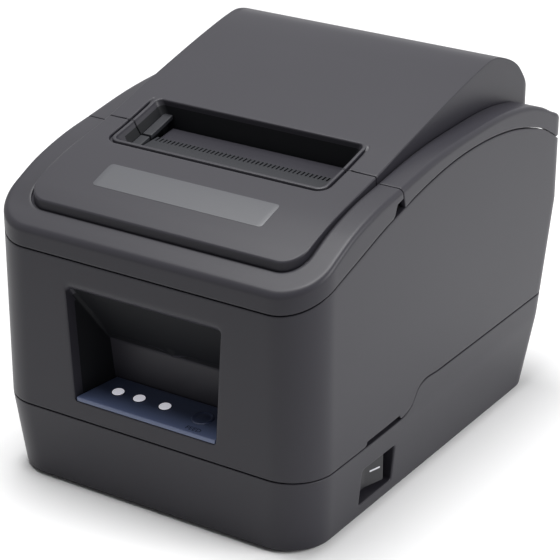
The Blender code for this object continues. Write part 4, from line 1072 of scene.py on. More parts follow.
@dataclass
class BodyShell:
    """Middle casing: its wall from the base seam to the covers' ring, with the front window."""

    window: Mouth = Mouth(((-32.5 * MM, 38.6 * MM), (32.5 * MM, 38.6 * MM),
                           (35.2 * MM, 84.4 * MM), (-35.2 * MM, 84.4 * MM)),
                          1.2 * MM, (0.4 * MM, 0.6 * MM, 4.2 * MM, 0.6 * MM))
    recess: float = 20 * MM
    taper: float = 5 * MM
    ceiling_drop: float = 26 * MM
    snap: tuple[float, float, float] = (41 * MM, 67 * MM, 1.7 * MM)
    panel_front: float = 40.5 * MM
    panel_slope: float = math.radians(5.4)
    panel_seat: float = 1.9 * MM

    def lower_line(self, stations: Stations) -> Array:
        """Lower edge: the base seam, raised over the snap slot at the right side.

        Args:
            stations: places round the outline.

        Returns:
            The heights.
        """
        seam = CASING.follow(stations, BASE_SEAM, 35 * MM)
        across, depth = CASING.section(stations, seam)
        start, end, tall = self.snap
        inside = smoothstep((depth - start) / MM) * smoothstep((end - depth) / MM) * (across > 0)
        return seam + CASING.gap / 2 + tall * inside

    def floor(self, depth: Array) -> Array:
        """Height of the recess's floor at a depth, which the panel plate lies on."""
        return self.panel_front - self.panel_seat + depth * math.tan(self.panel_slope)

    def build(self, paint: Paintbox) -> None:
        """Builds the wall and the window.

        Args:
            paint: where the materials come from.
        """
        front = line_stretch(end_place(False, True), end_place(True, True), 72)
        stations = chain(front, arc_stretch(Corner.FRONT_RIGHT, 20),
                         line_stretch(side_place(True), side_place(True, 40 * MM), 16),
                         line_stretch(side_place(True, 40 * MM), side_place(True, 100 * MM), 90),
                         line_stretch(side_place(True, 100 * MM), side_place(True, front=False), 60),
                         arc_stretch(Corner.BACK_RIGHT, 16),
                         line_stretch(end_place(True, False), end_place(False, False), 40),
                         arc_stretch(Corner.BACK_LEFT, 16),
                         line_stretch(side_place(False, front=False), side_place(False), 140),
                         arc_stretch(Corner.FRONT_LEFT, 20), close=end_place(False, True))
        low = self.lower_line(stations)
        high = CASING.follow(stations, BODY_RIM, 105 * MM) - CASING.gap / 2
        shares = column(np.concatenate([[0.0], np.linspace(0.015, 0.985, 44), [1.0]]))
        outer, inner = CASING.wall_patch(stations, blend(low, high, shares), CASING.edge, CASING.edge)
        rows, columns = slice(8, len(outer) - 6), slice(8, 65)
        kept = np.ones((outer.shape[0] - 1, outer.shape[1] - 1), bool)
        kept[rows.start:rows.stop - 1, columns.start:columns.stop - 1] = False
        surface = Surface().add(outer, inner, kept)

        def on_front(flat: Array, inwards: Array) -> Array:
            """Point of the front wall at (across, height), moved inwards."""
            return world(flat[..., 0], inwards, flat[..., 1])

        add_mouth(surface, self.window, [block_border(g, rows, columns) for g in (outer, inner)], on_front,
                  self.recess, (self.taper, self.ceiling_drop), 1.8 * MM, closed_back=True, floor=self.floor)
        points, faces = surface.solid()
        obj = mesh_object("body_shell", points, faces)
        place_on(obj, Slot.CHARCOAL, "chassis", paint.get(CHARCOAL_ABS), "main_casing")
        # Painted shade: the window recess's sides and ceiling get a darker material.
        paint_shade(obj, paint.get(RECESS_PAINTED_SHADE), self.window_painted_shade)

    def window_painted_shade(self, place: Array) -> Array:
        """Whether a place is on the sides or the ceiling of the window's recess, where shade is painted.

        Args:
            place: across, depth and height of each place.

        Returns:
            True for each such place.
        """
        across, depth, height = place
        return ((abs(across) < self.window.corners[2][0]) & (depth > self.window.lips[2] * 0.95)
                & (depth < self.recess * 0.99) & (height < self.window.corners[2][1] + MM)
                & (height > self.panel_front - 2 * MM))


class Half(Enum):
    """The two covers of the top."""

    FRONT = "front_cover"
    REAR = "lid"


@dataclass
class TopCover:
    """One of the two top covers: ring wall, ledge, groove, raised panel, and its part of the paper slot.

    Each is one grid. Its columns run round the cover from one end of the split to the other; its rows run
    up the ring wall, over the ledge and the raised panel, and down into the slot.
    """

    half: Half
    split: float = 64 * MM
    split_low: float = 66.2 * MM
    ring_edge: float = 2.0 * MM
    ledge_groove: float = 1.3 * MM
    groove_deep: float = 1.1 * MM
    raised: tuple[float, float, float, float] = (-61.1 * MM, 61.1 * MM, 10 * MM, 190 * MM)
    raised_corner: float = 9 * MM
    bead: float = 0.7 * MM
    slot: tuple[float, float, float, float] = (-48.8 * MM, 46.2 * MM, 50.5 * MM, 80.5 * MM)
    slot_corner: float = 2.5 * MM
    slot_draft: float = 2.6 * MM
    slot_shelf: float = 6 * MM
    slot_bottom: float = 117 * MM
    rim_bead: float = 1.5 * MM
    rim_groove: float = 1.2 * MM
    rim_groove_deep: float = 1.3 * MM
    notch: tuple[float, float] = (57.5 * MM, 4.2 * MM)

    def stations(self) -> Stations:
        """Places from one end of the split to the other, anticlockwise."""
        if self.half is Half.FRONT:
            return chain(line_stretch(side_place(False, self.split), side_place(False), 56),
                         arc_stretch(Corner.FRONT_LEFT, 20),
                         line_stretch(end_place(False, True), end_place(True, True), 90),
                         arc_stretch(Corner.FRONT_RIGHT, 20),
                         line_stretch(side_place(True), side_place(True, self.split), 56),
                         close=side_place(True, self.split))
        return chain(line_stretch(side_place(True, self.split), side_place(True, front=False), 110),
                     arc_stretch(Corner.BACK_RIGHT, 18),
                     line_stretch(end_place(True, False), end_place(False, False), 80),
                     arc_stretch(Corner.BACK_LEFT, 18),
                     line_stretch(side_place(False, front=False), side_place(False, self.split), 110),
                     close=side_place(False, self.split))

    def rectangle(self, stations: Stations, box: tuple[float, float, float, float], corner: float,
                  grow: float = 0.0) -> tuple[Array, Array]:
        """Outline of a rounded rectangle (left, right, front, back), made larger by grow.

        Args:
            stations: places round the outline.
            box: left, right, front and back.
            corner: radius of the corners.
            grow: how much larger it is made.

        Returns:
            Across and depth of each place.
        """
        left, right, front, back = box
        corner = max(corner + grow, 0.3 * MM)
        return stations.outline(left - grow, right + grow, front - grow, back + grow, corner, corner)

    def rows(self, stations: Stations, inset: float) -> Array:
        """The grid of one face of the shell; inset is 0 for the outer face and the wall for the inner one.

        Each row is an outline seen from above and a height over it. Heights follow the ledge's and the
        panel's profiles at each point's own depth, less the inset.

        Args:
            stations: places round the outline.
            inset: how far it is drawn in.

        Returns:
            The grid of points.
        """
        casing = stations.outline(-CASING.half + inset, CASING.half - inset, inset, CASING.DEPTH - inset,
                                  CASING.front_corner - inset, CASING.back_corner - inset)
        gutter = self.rectangle(stations, self.raised, self.raised_corner, self.ledge_groove - inset)
        panel = self.rectangle(stations, self.raised, self.raised_corner, -inset)
        sharp = 1.0 if inset == 0 else 0.1
        low = COVER_RIM(casing[1]) + CASING.gap / 2
        if self.half is Half.FRONT:
            low = low + self.notch[1] * smoothstep((casing[1] - self.notch[0]) / (2.5 * MM))
        sine, cosine = quarter(4)
        grid: list[Array] = []

        def mix(a: tuple[Array, Array], b: tuple[Array, Array], metres: float) -> tuple[Array, Array]:
            """Point at a distance from a towards b."""
            way = np.hypot(b[0] - a[0], b[1] - a[1]) + 1e-9
            return a[0] + (b[0] - a[0]) * metres / way, a[1] + (b[1] - a[1]) * metres / way

        edge = CASING.edge * sharp
        for s, c in zip(sine, cosine):
            x, d = mix(casing, gutter, edge * (1 - s))
            grid.append(world(x, d, low + edge * (1 - c)))
        ring = self.ring_edge * sharp
        top = LEDGE(mix(casing, gutter, 0.0)[1]) - inset - ring
        for t in np.linspace(0, 1, 9)[1:-1]:
            grid.append(world(casing[0], casing[1], blend(low + edge, top, t)))
        sine, cosine = quarter(8)
        for s, c in zip(sine, cosine):
            x, d = mix(casing, gutter, ring * (1 - c))
            grid.append(world(x, d, LEDGE(d) - inset - ring * (1 - s)))
        start = mix(casing, gutter, ring)
        for t in np.linspace(0, 1, 11)[1:-1]:
            x, d = blend(start[0], gutter[0], t), blend(start[1], gutter[1], t)
            grid.append(world(x, d, LEDGE(d) - inset))
        deep = self.groove_deep * (1.0 if inset == 0 else 0.0)
        for share, drop in ((0.0, 0.0), (0.12, 0.06), (0.22, 0.25), (0.27, 0.5), (0.3, 1.0), (0.9, 1.0),
                            (1.0, 0.9)):
            x, d = blend(gutter[0], panel[0], share), blend(gutter[1], panel[1], share)
            grid.append(world(x, d, LEDGE(d) - inset - deep * drop))
        foot = LEDGE(panel[1]) - inset - deep * 0.9
        slot_line = self.rectangle(stations, self.slot, self.slot_corner,
                                   self.rim_bead + self.rim_groove + 0.4 * MM)
        bead = self.bead * sharp
        head = PANEL(panel[1]) - inset - bead
        head = np.maximum(head, foot + 0.15 * MM)
        for t in np.linspace(0, 1, 13)[1:-1]:
            grid.append(world(panel[0], panel[1], blend(foot, head, t)))
        sine, cosine = quarter(6)
        for s, c in zip(sine, cosine):
            x, d = mix(panel, slot_line, bead * (1 - c))
            lowest = foot + 0.15 * MM + bead * s * 0.5
            grid.append(world(x, d, np.maximum(PANEL(d) - inset - bead * (1 - s), lowest)))
        start = mix(panel, slot_line, bead)
        for t in np.linspace(0, 1, 61)[1:] ** 1.3:
            x, d = blend(start[0], slot_line[0], t), blend(start[1], slot_line[1], t)
            grid.append(world(x, d, PANEL(d) - inset))
        grid.extend(self.slot_rows(stations, inset))
        return np.stack(grid)

    def slot_rows(self, stations: Stations, inset: float) -> list[Array]:
        """Rows of the slot: rim groove and bead, drafted wall, shelf edge and the drop below it.

        Args:
            stations: places round the outline.
            inset: how far it is drawn in.

        Returns:
            The rows of points.
        """
        rows = []
        fade = self.groove_fade(stations)
        deep = self.rim_groove_deep * fade * (1.0 if inset == 0 else 0.0)
        width = self.rim_bead + self.rim_groove
        for away, drop in ((width + 0.25 * MM, 0.04), (width + 0.12 * MM, 0.18), (width, 0.55),
                           (width - 0.08 * MM, 1.0), (self.rim_bead + 0.1 * MM, 1.0), (self.rim_bead, 0.5),
                           (self.rim_bead - 0.15 * MM, 0.1), (self.rim_bead - 0.4 * MM, 0.0)):
            x, d = self.rectangle(stations, self.slot, self.slot_corner, away)
            rows.append(world(x, d, PANEL(d) - inset - deep * drop))
        sine, cosine = quarter(5)
        round_off = 0.5 * MM
        for s, c in zip(sine, cosine):
            x, d = self.rectangle(stations, self.slot, self.slot_corner, round_off * (1 - s) + inset * 0.8)
            rows.append(world(x, d, PANEL(d) - inset - round_off * (1 - c)))
        top = self.rectangle(stations, self.slot, self.slot_corner, inset * 0.8)
        left, right, front, back = self.slot
        lower = (left + self.slot_draft, right - self.slot_draft, front + 3.5 * MM, back)
        foot = self.rectangle(stations, lower, self.slot_corner, inset * 0.8)
        high, low = PANEL(top[1]) - inset - round_off, PANEL(foot[1]) - self.slot_shelf
        for t in np.linspace(0, 1, 10)[1:]:
            rows.append(world(blend(top[0], foot[0], t), blend(top[1], foot[1], t), blend(high, low, t)))
        bottom = np.minimum(low - 0.6 * MM, self.slot_bottom)
        for t in (0.15, 0.5, 1.0):
            rows.append(world(foot[0], foot[1], blend(low, bottom, t)))
        return rows

    def groove_fade(self, stations: Stations) -> Array:
        """Share of the rim groove's depth: full at the front and sides, none along the rear edge."""
        _, depth = self.rectangle(stations, self.slot, self.slot_corner)
        return 1 - smoothstep((depth - (self.slot[3] - 3.5 * MM)) / (2.5 * MM))

    def build(self, paint: Paintbox) -> None:
        """Builds the cover as one walled grid and pulls its two ends back for the split's gap.

        Args:
            paint: where the materials come from.
        """
        stations = self.stations()
        outer, inner = self.rows(stations, 0.0), self.rows(stations, CASING.wall)
        inner[:, :, 2] = np.minimum(inner[:, :, 2], outer[:, :, 2] + 0.2 * MM)
        sign = 1 if self.half is Half.FRONT else -1
        for grid in (outer, inner):
            height = grid[:, :, 2] - Casing.FOOT_STAND
            lean = np.clip((127 * MM - height) / (127 * MM - 117.5 * MM), 0, 1.2)
            lean = lean * (self.split_low - self.split)
            near = np.clip(1 - abs(grid[:, :, 1] + Casing.DEPTH / 2 - self.split) / (8 * MM), 0, 1)
            grid[:, :, 1] += lean * near
            grid[:, (0, -1), 1] -= sign * CASING.gap / 2
        outer, inner = self.soften_ends(outer, inner)
        points, faces = Surface().add(outer, inner).solid()
        obj = mesh_object("cover_front" if self.half is Half.FRONT else "cover_lid", points, faces)
        place_on(obj, Slot.CHARCOAL, self.half.value, paint.get(CHARCOAL_ABS), self.half.value)
        # Painted shade: the paper slot's deep walls get a darker material.
        paint_shade(obj, paint.get(RECESS_PAINTED_SHADE), self.slot_painted_shade)

    def slot_painted_shade(self, place: Array) -> Array:
        """Whether a place is on the paper slot's rear wall or on its sides, below the rim, where shade is
        painted.

        Args:
            place: across, depth and height of each place.

        Returns:
            True for each such place.
        """
        across, depth, height = place
        left, right, front, back = self.slot
        return ((across > left - MM) & (across < right + MM) & (depth > front + 6 * MM)
                & (depth < back + MM) & (height < PANEL(depth) - 2.4 * MM))

    def soften_ends(self, outer: Array, inner: Array) -> tuple[Array, Array]:
        """Rounds the two ends of the grid: a quarter circle from the face down into the split.

        Args:
            outer: points of the wall's outer face.
            inner: points of the wall's inner face.

        Returns:
            Both grids with their ends rounded.
        """
        radius = 0.3 * MM
        for flip in (False, True):
            if flip:
                outer, inner = outer[:, ::-1], inner[:, ::-1]
            edge, next_one = outer[:, 0], outer[:, 1]
            tangent = next_one - edge
            tangent /= np.linalg.norm(tangent, axis=-1, keepdims=True) + 1e-12
            along = np.gradient(edge, axis=0)
            normal = np.cross(tangent, along) if not flip else np.cross(along, tangent)
            normal /= np.linalg.norm(normal, axis=-1, keepdims=True) + 1e-12
            sine, cosine = quarter(3)
            inner_edge, inner_next = inner[:, 0], inner[:, 1]
            slide = [inner_edge + (inner_next - inner_edge) * 0.1 * i for i in range(len(sine))]
            arc = [edge + tangent * radius * (1 - c) - normal * radius * (1 - s)
                   for s, c in zip(sine, cosine)]
            outer = np.concatenate([np.stack(arc, axis=1), outer[:, 1:]], axis=1)
            inner = np.concatenate([np.stack(slide, axis=1), inner[:, 1:]], axis=1)
            if flip:
                outer, inner = outer[:, ::-1], inner[:, ::-1]
        return outer, inner


# ---------------------------------------------------------------- controls and trim


def lettering(name: str, text: str, height: float, place: Callable[[Array], Array]) -> bpy.types.Object:
    """Thin raised letters.

    Args:
        name: the piece's name.
        text: the letters.
        height: letter size.
        place: turns points of the letters' own plane, with their thickness upwards, to points of the frame.

    Returns:
        The object, a mesh at the origin.
    """
    curve = bpy.data.curves.new(name, "FONT")
    curve.body = text
    curve.size = height
    curve.extrude = 0.02 * MM
    curve.align_x = "CENTER"
    curve.resolution_u = 3
    source = bpy.data.objects.new(name + "_text", curve)
    bpy.context.scene.collection.objects.link(source)
    mesh = bpy.data.meshes.new_from_object(source.evaluated_get(bpy.context.evaluated_depsgraph_get()))
    bpy.data.objects.remove(source)
    bpy.data.curves.remove(curve)
    flat = np.empty(len(mesh.vertices) * 3, np.float32)
    mesh.vertices.foreach_get("co", flat)
    mesh.vertices.foreach_set("co", place(flat.reshape(-1, 3)).astype(np.float32).ravel())
    mesh.name = name
    mesh.update()
    obj = bpy.data.objects.new(name, mesh)
    bpy.context.scene.collection.objects.link(obj)
    return obj


@dataclass(frozen=True)
class ControlPanel:
    """Tinted film plate on the window's floor, with three lenses, their rings, and the FEED button."""

    height: float = 40.5 * MM
    slope: float = math.radians(5.4)
    corners: tuple[tuple[float, float], ...] = ((-32.2 * MM, 0.35 * MM), (32.2 * MM, 0.35 * MM),
                                                (27.3 * MM, 19.7 * MM), (-27.3 * MM, 19.7 * MM))
    thick: float = 1.6 * MM
    edge: float = 0.35 * MM
    ring_width: float = 0.35 * MM
    legend: tuple[float, float] = (20.6 * MM, 1.9 * MM)
    legend_size: float = 3.1 * MM

    def place(self, flat: Array, level: float | Array) -> Array:
        """Point over the plate: the plate rises backwards by the tangent of its slope."""
        return world(flat[..., 0], flat[..., 1], self.height + flat[..., 1] * math.tan(self.slope) + level)

    def build(self, paint: Paintbox) -> None:
        """Builds the plate, lenses, button and legend.

        Args:
            paint: where the materials come from.
        """
        plate = Slab(four_sided(self.corners, 0.5 * MM), self.place, self.thick, self.edge)
        place_on(plate.build("panel_plate"), Slot.FILM, "chassis", paint.get(PANEL_FILM), "control_panel")
        for name in ("power_lens", "error_lens", "paper_lens"):
            self.build_lens(name, paint)
        self.build_button(paint)
        letters = lettering("feed_legend", "FEED", self.legend_size, self.on_plate)
        place_on(letters, Slot.FILM, "chassis", paint.get(LEGEND_INK))

    def on_plate(self, points: Array) -> Array:
        """Letters' own plane laid on the plate, with its foot at the legend's place."""
        flat = points[:, :2] + np.array(self.legend)
        return self.place(flat, points[:, 2] + 0.03 * MM)

    def spot(self, name: str) -> tuple[tuple[float, float], float]:
        """Middle and radius of a round node on the plate."""
        low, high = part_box(name)
        return ((low.x + high.x) / 2, (low.y + high.y) / 2 + Casing.DEPTH / 2), (high.x - low.x) / 2

    def build_lens(self, name: str, paint: Paintbox) -> None:
        """Milky lens with a round edge, and the printed ring about it.

        Args:
            name: the piece's name.
            paint: where the materials come from.
        """
        centre, radius = self.spot(name)
        lens = Slab(ring_outline(radius, centre), lambda flat, level: self.place(flat, level + 0.3 * MM),
                    1.5 * MM, 0.3 * MM).build(name + "_face")
        place_on(lens, Slot.LENS, "chassis", paint.get(LENS_PAINTED_GLOW), name)
        ring = Slab(ring_outline(radius + self.ring_width, centre),
                    lambda flat, level: self.place(flat, level + 0.04 * MM), 0.2 * MM, 0.03 * MM)
        place_on(ring.build(name + "_ring"), Slot.FILM, "chassis", paint.get(LEGEND_INK))

    def build_button(self, paint: Paintbox) -> None:
        """FEED button: a rim, a dip inside it and a low dome, as a height over the radius.

        Args:
            paint: where the materials come from.
        """
        centre, flange = self.spot("feed_button")
        radius = flange - 1 * MM
        rings = [(0.0, -2.6), (flange / MM, -2.6), (flange / MM, -1.9), (radius / MM, -1.9),
                 (radius / MM, 0.1), (radius / MM - 0.12, 0.36), (radius / MM - 0.4, 0.48),
                 (radius / MM - 0.8, 0.44), (radius / MM - 1.2, 0.18), (radius / MM - 1.6, 0.1),
                 (2.2, 0.22), (1.6, 0.3), (0.8, 0.36), (0.0, 0.38)]
        angle = np.linspace(0, 2 * math.pi, 65)
        across, level = np.array(rings).T * MM
        flat = np.stack([centre[0] + column(across) * np.cos(angle),
                         centre[1] + column(across) * np.sin(angle)], -1)
        points, _, faces = Surface().add(self.place(flat, column(level))).faces()
        button = mesh_object("feed_button_cap", points, outward(points, faces))
        place_on(button, Slot.FILM, "feed_button", paint.get(BUTTON_FILM), "feed_button")


@dataclass(frozen=True)
class RockerSwitch:
    """Power rocker, tipped so that its rear half stands out, with its two printed marks.

    A point of the rocker is (along, out): along the rocker from its axis towards the rear, and out from
    the axis. The outer face dips evenly from its two crests to its middle, and the whole is turned by tilt.
    """

    axis: tuple[float, float] = (55.5 * MM, 52.5 * MM)
    tilt: float = math.radians(8)
    half: float = 10.4 * MM
    reach: float = 12 * MM
    root: float = 2 * MM
    dish: float = 1.3 * MM
    low: float = 7.3 * MM
    high: float = 19.2 * MM
    round: float = 1.0 * MM
    mark_along: float = 5.4 * MM
    mark_proud: float = 0.05 * MM
    bar: tuple[float, float] = (5.4 * MM, 0.7 * MM)
    ring: tuple[float, float] = (1.6 * MM, 0.55 * MM)

    def spot(self, along: Array, out: Array, height: Array) -> Array:
        """Point of the frame: the dip goes with the square of out, then the tilt turns the point.

        Args:
            along: distance from the axis towards the rear.
            out: distance out from the axis.
            height: height of each point.

        Returns:
            The points.
        """
        out = out - self.dish * np.clip(1 - abs(along) / self.half, 0, 1) * (out / self.reach) ** 2
        sine, cosine = math.sin(self.tilt), math.cos(self.tilt)
        return world(self.axis[0] + along * sine + out * cosine,
                     self.axis[1] + along * cosine - out * sine, height)

    def build(self, paint: Paintbox) -> None:
        """Builds the rocker and its marks.

        Args:
            paint: where the materials come from.
        """
        corners = ((-self.half, self.root), (self.half, self.root), (self.half, self.reach),
                   (-self.half, self.reach))
        body = Slab(four_sided(corners, self.round, 30),
                    lambda flat, level: self.spot(flat[..., 0], flat[..., 1], self.high + level),
                    self.high - self.low, 0.4 * MM)
        place_on(body.build("rocker_body"), Slot.BLACK, "power_rocker", paint.get(ROCKER_ABS), "power_rocker")
        middle = (self.low + self.high) / 2
        wide, tall = (size / 2 for size in self.bar)
        corners = ((-wide, -tall), (wide, -tall), (wide, tall), (-wide, tall))
        bar = Slab(four_sided(corners, 0.15 * MM, 14), lambda flat, level: self.spot(
            self.mark_along + flat[..., 0], self.reach + self.mark_proud + level, middle + flat[..., 1]),
            0.3 * MM, 0.02 * MM)
        place_on(bar.build("rocker_bar"), Slot.BLACK, "power_rocker", paint.get(LEGEND_WHITE))
        radius, line = self.ring
        angle = np.linspace(0, 2 * math.pi, 41)
        across = column([radius, radius, radius - line, radius - line, radius])
        proud = column(np.array([-0.3 * MM, self.mark_proud, self.mark_proud, -0.3 * MM, -0.3 * MM]))
        grid = self.spot(across * np.cos(angle) - self.mark_along, self.reach + proud,
                         middle + across * np.sin(angle))
        points, _, faces = Surface().add(grid).faces()
        ring = mesh_object("rocker_ring", points, outward(points, faces))
        place_on(ring, Slot.BLACK, "power_rocker", paint.get(LEGEND_WHITE))


@dataclass(frozen=True)
class TearStrip:
    """Serrated bar in the front of the paper slot: a comb whose top rises slightly backwards."""

    left: float = -41.1 * MM
    right: float = 41.1 * MM
    front: float = 53.6 * MM
    back: float = 68.4 * MM
    top: float = 123 * MM
    rise: float = 0.9 * MM
    thick: float = 1.2 * MM
    teeth: int = 44
    tooth_deep: float = 3.4 * MM
    gap_share: float = 0.36

    def build(self, paint: Paintbox) -> None:
        """Sweeps a four-sided section across; its rear edge steps between tooth tips and roots.

        Args:
            paint: where the materials come from.
        """
        pitch = (self.right - self.left) / self.teeth
        start = self.left + pitch * column(np.arange(self.teeth))
        flank = 0.06  # share of the pitch that a tooth's side takes
        tip = 1 - self.gap_share
        across = (start + pitch * np.array([0, flank, tip - flank, tip])).ravel()
        deep = np.tile([0.0, 1.0, 1.0, 0.0], self.teeth)
        across = np.append(across, self.right)
        deep = np.append(deep, 0.0)
        root = self.back - self.tooth_deep
        rear = root + self.tooth_deep * deep
        front = np.full_like(rear, self.front)
        high_front, high_root = self.top - self.rise, self.top - self.rise * 0.25
        high_rear = np.where(deep > 0, self.top, high_root)
        rows = [(front, high_front - self.thick), (front, high_front), (np.full_like(rear, root), high_root),
                (rear, high_rear), (rear, high_rear - self.thick * 0.6),
                (np.full_like(rear, root), high_root - self.thick),
                (front, high_front - self.thick)]
        grid = np.stack([world(across, depth, height) for depth, height in rows])
        surface = Surface().add(grid)
        for end in (0, -1):
            ring = grid[:-1, end]
            surface.add(np.stack([ring[:3], ring[:2:-1]]))
        points, _, faces = surface.faces()
        strip = mesh_object("tear_strip", points, outward(points, faces), 25.0)
        place_on(strip, Slot.BLACK, "front_cover", paint.get(SLOT_ABS), "tear_bar")


@dataclass(frozen=True)
class CoverTrim:
    """Blank sticker on the front cover, and the shelves at the slot's left."""

    sticker: tuple[float, float, float, float] = (-38.3 * MM, 38.2 * MM, 22.2 * MM, 35.2 * MM)
    sticker_corner: float = 1.6 * MM
    shelf: tuple[float, float] = (-46.2 * MM, -41.9 * MM)
    shelf_runs: tuple[tuple[str, float, float], ...] = (("front_cover", 54 * MM, 64.6 * MM),
                                                        ("lid", 65.6 * MM, 80.3 * MM))
    shelf_drop: float = 5.6 * MM

    def build(self, paint: Paintbox) -> None:
        """Builds the sticker and the shelves.

        Args:
            paint: where the materials come from.
        """
        left, right, front, back = self.sticker
        corners = ((left, front), (right, front), (right, back), (left, back))
        film = Slab(four_sided(corners, self.sticker_corner, 30), self.on_panel, 0.3 * MM, 0.06 * MM,
                    rings=16)
        place_on(film.build("sticker"), Slot.FILM, "front_cover", paint.get(STICKER_FILM))
        for body, start, end in self.shelf_runs:
            left, right = self.shelf
            corners = ((left, start), (right, start), (right, end), (left, end))
            shelf = Slab(four_sided(corners, 0.4 * MM, 12), self.on_shelf, 1.6 * MM, 0.3 * MM)
            place_on(shelf.build(f"slot_shelf_{body}"), Slot.CHARCOAL, body, paint.get(SLOT_ABS))

    def on_panel(self, flat: Array, level: float | Array) -> Array:
        """Point over the raised panel."""
        return world(flat[..., 0], flat[..., 1], PANEL(flat[..., 1]) + 0.1 * MM + level)

    def on_shelf(self, flat: Array, level: float | Array) -> Array:
        """Point over the shelf, which follows the raised panel at an even drop."""
        return world(flat[..., 0], flat[..., 1], PANEL(flat[..., 1]) - self.shelf_drop + level)


@dataclass(frozen=True)
class HingePieces:
    """Lugs of the lid, ears of the casing and bent arms of the front cover."""

    hinge: tuple[float, float] = (197.5 * MM, 105 * MM)
    hinge_radius: float = 3.2 * MM
    hinge_across: float = 45 * MM
    lug_half: float = 2 * MM
    ear_thick: float = 2.6 * MM
    running_gap: float = 0.3 * MM
    arm_across: float = 60.5 * MM
    arm_half: float = 1.5 * MM
    arm_reach: float = 2.4 * MM
    arm_path: tuple[tuple[float, float], ...] = ((8 * MM, 68 * MM), (24 * MM, 76 * MM), (34 * MM, 92 * MM),
                                                 (34 * MM, 115 * MM))

    def build(self, paint: Paintbox) -> None:
        """Builds the pieces of both sides."""
        for side, word in ((-1, "left"), (1, "right")):
            self.build_side(side, word, paint)

    def upright(self, outline: Callable[[float], Array], across: float, thick: float,
                name: str) -> bpy.types.Object:
        """Upright plate whose outline is (depth, height), with its outer face at a place across."""
        return Slab(outline, lambda flat, level: world(across + level, flat[..., 0], flat[..., 1]), thick,
                    0.4 * MM).build(name)

    def build_side(self, side: int, word: str, paint: Paintbox) -> None:
        """The lid's lug between two ears of the casing, and the front cover's bent arm, on one side.

        Args:
            side: -1 for the left and 1 for the right.
            word: the side's name.
            paint: where the materials come from.
        """
        depth, height = self.hinge
        middle = side * self.hinge_across
        lug = strip_outline(((depth, height), (depth - 0.6 * MM, height + 7.5 * MM)), self.hinge_radius)
        made = self.upright(lug, middle + self.lug_half, 2 * self.lug_half, f"lid_lug_{word}")
        place_on(made, Slot.CHARCOAL, "lid", paint.get(CHARCOAL_ABS))
        ear = strip_outline(((depth, height), (depth, height - 9 * MM)), self.hinge_radius)
        for name, outer in (("outer", middle + self.lug_half + self.running_gap + self.ear_thick),
                            ("inner", middle - self.lug_half - self.running_gap)):
            made = self.upright(ear, outer, self.ear_thick, f"hinge_ear_{name}_{word}")
            place_on(made, Slot.CHARCOAL, "chassis", paint.get(CHARCOAL_ABS))
        arm = strip_outline(self.arm_path, self.arm_reach)
        made = self.upright(arm, side * self.arm_across + self.arm_half, 2 * self.arm_half,
                            f"cover_arm_{word}")
        place_on(made, Slot.CHARCOAL, "front_cover", paint.get(CHARCOAL_ABS))


# ---------------------------------------------------------------- view


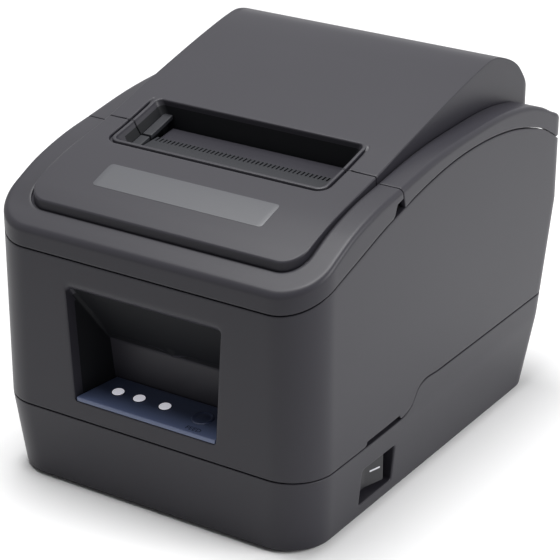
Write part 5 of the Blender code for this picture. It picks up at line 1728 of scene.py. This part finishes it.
@dataclass(frozen=True)
class Studio:
    """Floor, lamps and camera."""

    target: tuple[float, float, float] = (0.0, -0.0105, 0.061)
    azimuth: float = math.radians(33.125)
    elevation: float = math.radians(24.411)
    distance: float = 0.87249
    lens: float = 139.56
    shift: tuple[float, float] = (0.00835, 0.0141)

    def build(self) -> None:
        """Builds the floor, world, lamps and camera."""
        self.floor()
        self.lamps()
        self.camera()

    def floor(self) -> None:
        """Plain pale floor, and a world that the camera, gloss and glass see as white."""
        size = 3.0
        mesh = bpy.data.meshes.new("floor")
        mesh.from_pydata([(-size, -size, 0), (size, -size, 0), (size, size, 0), (-size, size, 0)], [],
                         [(0, 1, 2, 3)])
        floor = bpy.data.objects.new("floor", mesh)
        bpy.context.scene.collection.objects.link(floor)
        pale = bpy.data.materials.new("pale_floor")
        pale.use_nodes = True
        shader = pale.node_tree.nodes["Principled BSDF"]
        shader.inputs["Base Color"].default_value = linear("F4F4F4")
        shader.inputs["Roughness"].default_value = 0.9
        mesh.materials.append(pale)
        made = bpy.data.worlds.new("studio")
        bpy.context.scene.world = made
        made.use_nodes = True
        tree = made.node_tree
        path = add_node(tree, "ShaderNodeLightPath")
        direct = add_node(tree, "ShaderNodeMath", {0: path.outputs["Is Camera Ray"],
                                                   1: path.outputs["Is Glossy Ray"]}, operation="MAXIMUM")
        seen = add_node(tree, "ShaderNodeMath", {0: direct.outputs[0],
                                                 1: path.outputs["Is Transmission Ray"]},
                        operation="MAXIMUM")
        light = add_node(tree, "ShaderNodeMix", {"Factor": seen.outputs[0], 6: (0.12, 0.12, 0.125, 1),
                                                 7: (1, 1, 1, 1)}, data_type="RGBA")
        background = tree.nodes["Background"]
        tree.links.new(light.outputs[2], background.inputs["Color"])
        background.inputs["Strength"].default_value = 1.0

    def lamps(self) -> None:
        """Large soft lamp above, and a weaker one at the right."""
        for name, place, size, power in (("above", (-0.15, 0.02, 1.2), 0.7, 19.0),
                                         ("right", (1.2, 0.2, 0.7), 0.8, 15.0)):
            light = bpy.data.lights.new(name, "AREA")
            light.size = size
            light.energy = power
            lamp = bpy.data.objects.new(name, light)
            lamp.location = place
            lamp.rotation_euler = (Vector(self.target) - Vector(place)).to_track_quat("-Z", "Y").to_euler()
            bpy.context.scene.collection.objects.link(lamp)

    def camera(self) -> None:
        """Long lens from the right front, a little above the object."""
        data = bpy.data.cameras.new("camera")
        data.lens = self.lens
        data.sensor_width = 36.0
        data.shift_x, data.shift_y = self.shift
        data.clip_end = 10.0
        camera = bpy.data.objects.new("camera", data)
        back = Vector((math.sin(self.azimuth) * math.cos(self.elevation),
                       -math.cos(self.azimuth) * math.cos(self.elevation), math.sin(self.elevation)))
        camera.location = Vector(self.target) + back * self.distance
        camera.rotation_euler = (-back).to_track_quat("-Z", "Y").to_euler()
        bpy.context.scene.collection.objects.link(camera)
        bpy.context.scene.camera = camera


def main() -> None:
    """Builds every sub-assembly in order."""
    logging.basicConfig(level=logging.INFO, format="%(message)s")
    bpy.context.scene.view_settings.view_transform = "Standard"
    paint = Paintbox()
    paint.dress_nodes()
    BaseShell().build(paint)
    BodyShell().build(paint)
    TopCover(Half.FRONT).build(paint)
    TopCover(Half.REAR).build(paint)
    ControlPanel().build(paint)
    RockerSwitch().build(paint)
    TearStrip().build(paint)
    CoverTrim().build(paint)
    HingePieces().build(paint)
    Studio().build()


if __name__ == "__main__":
    main()
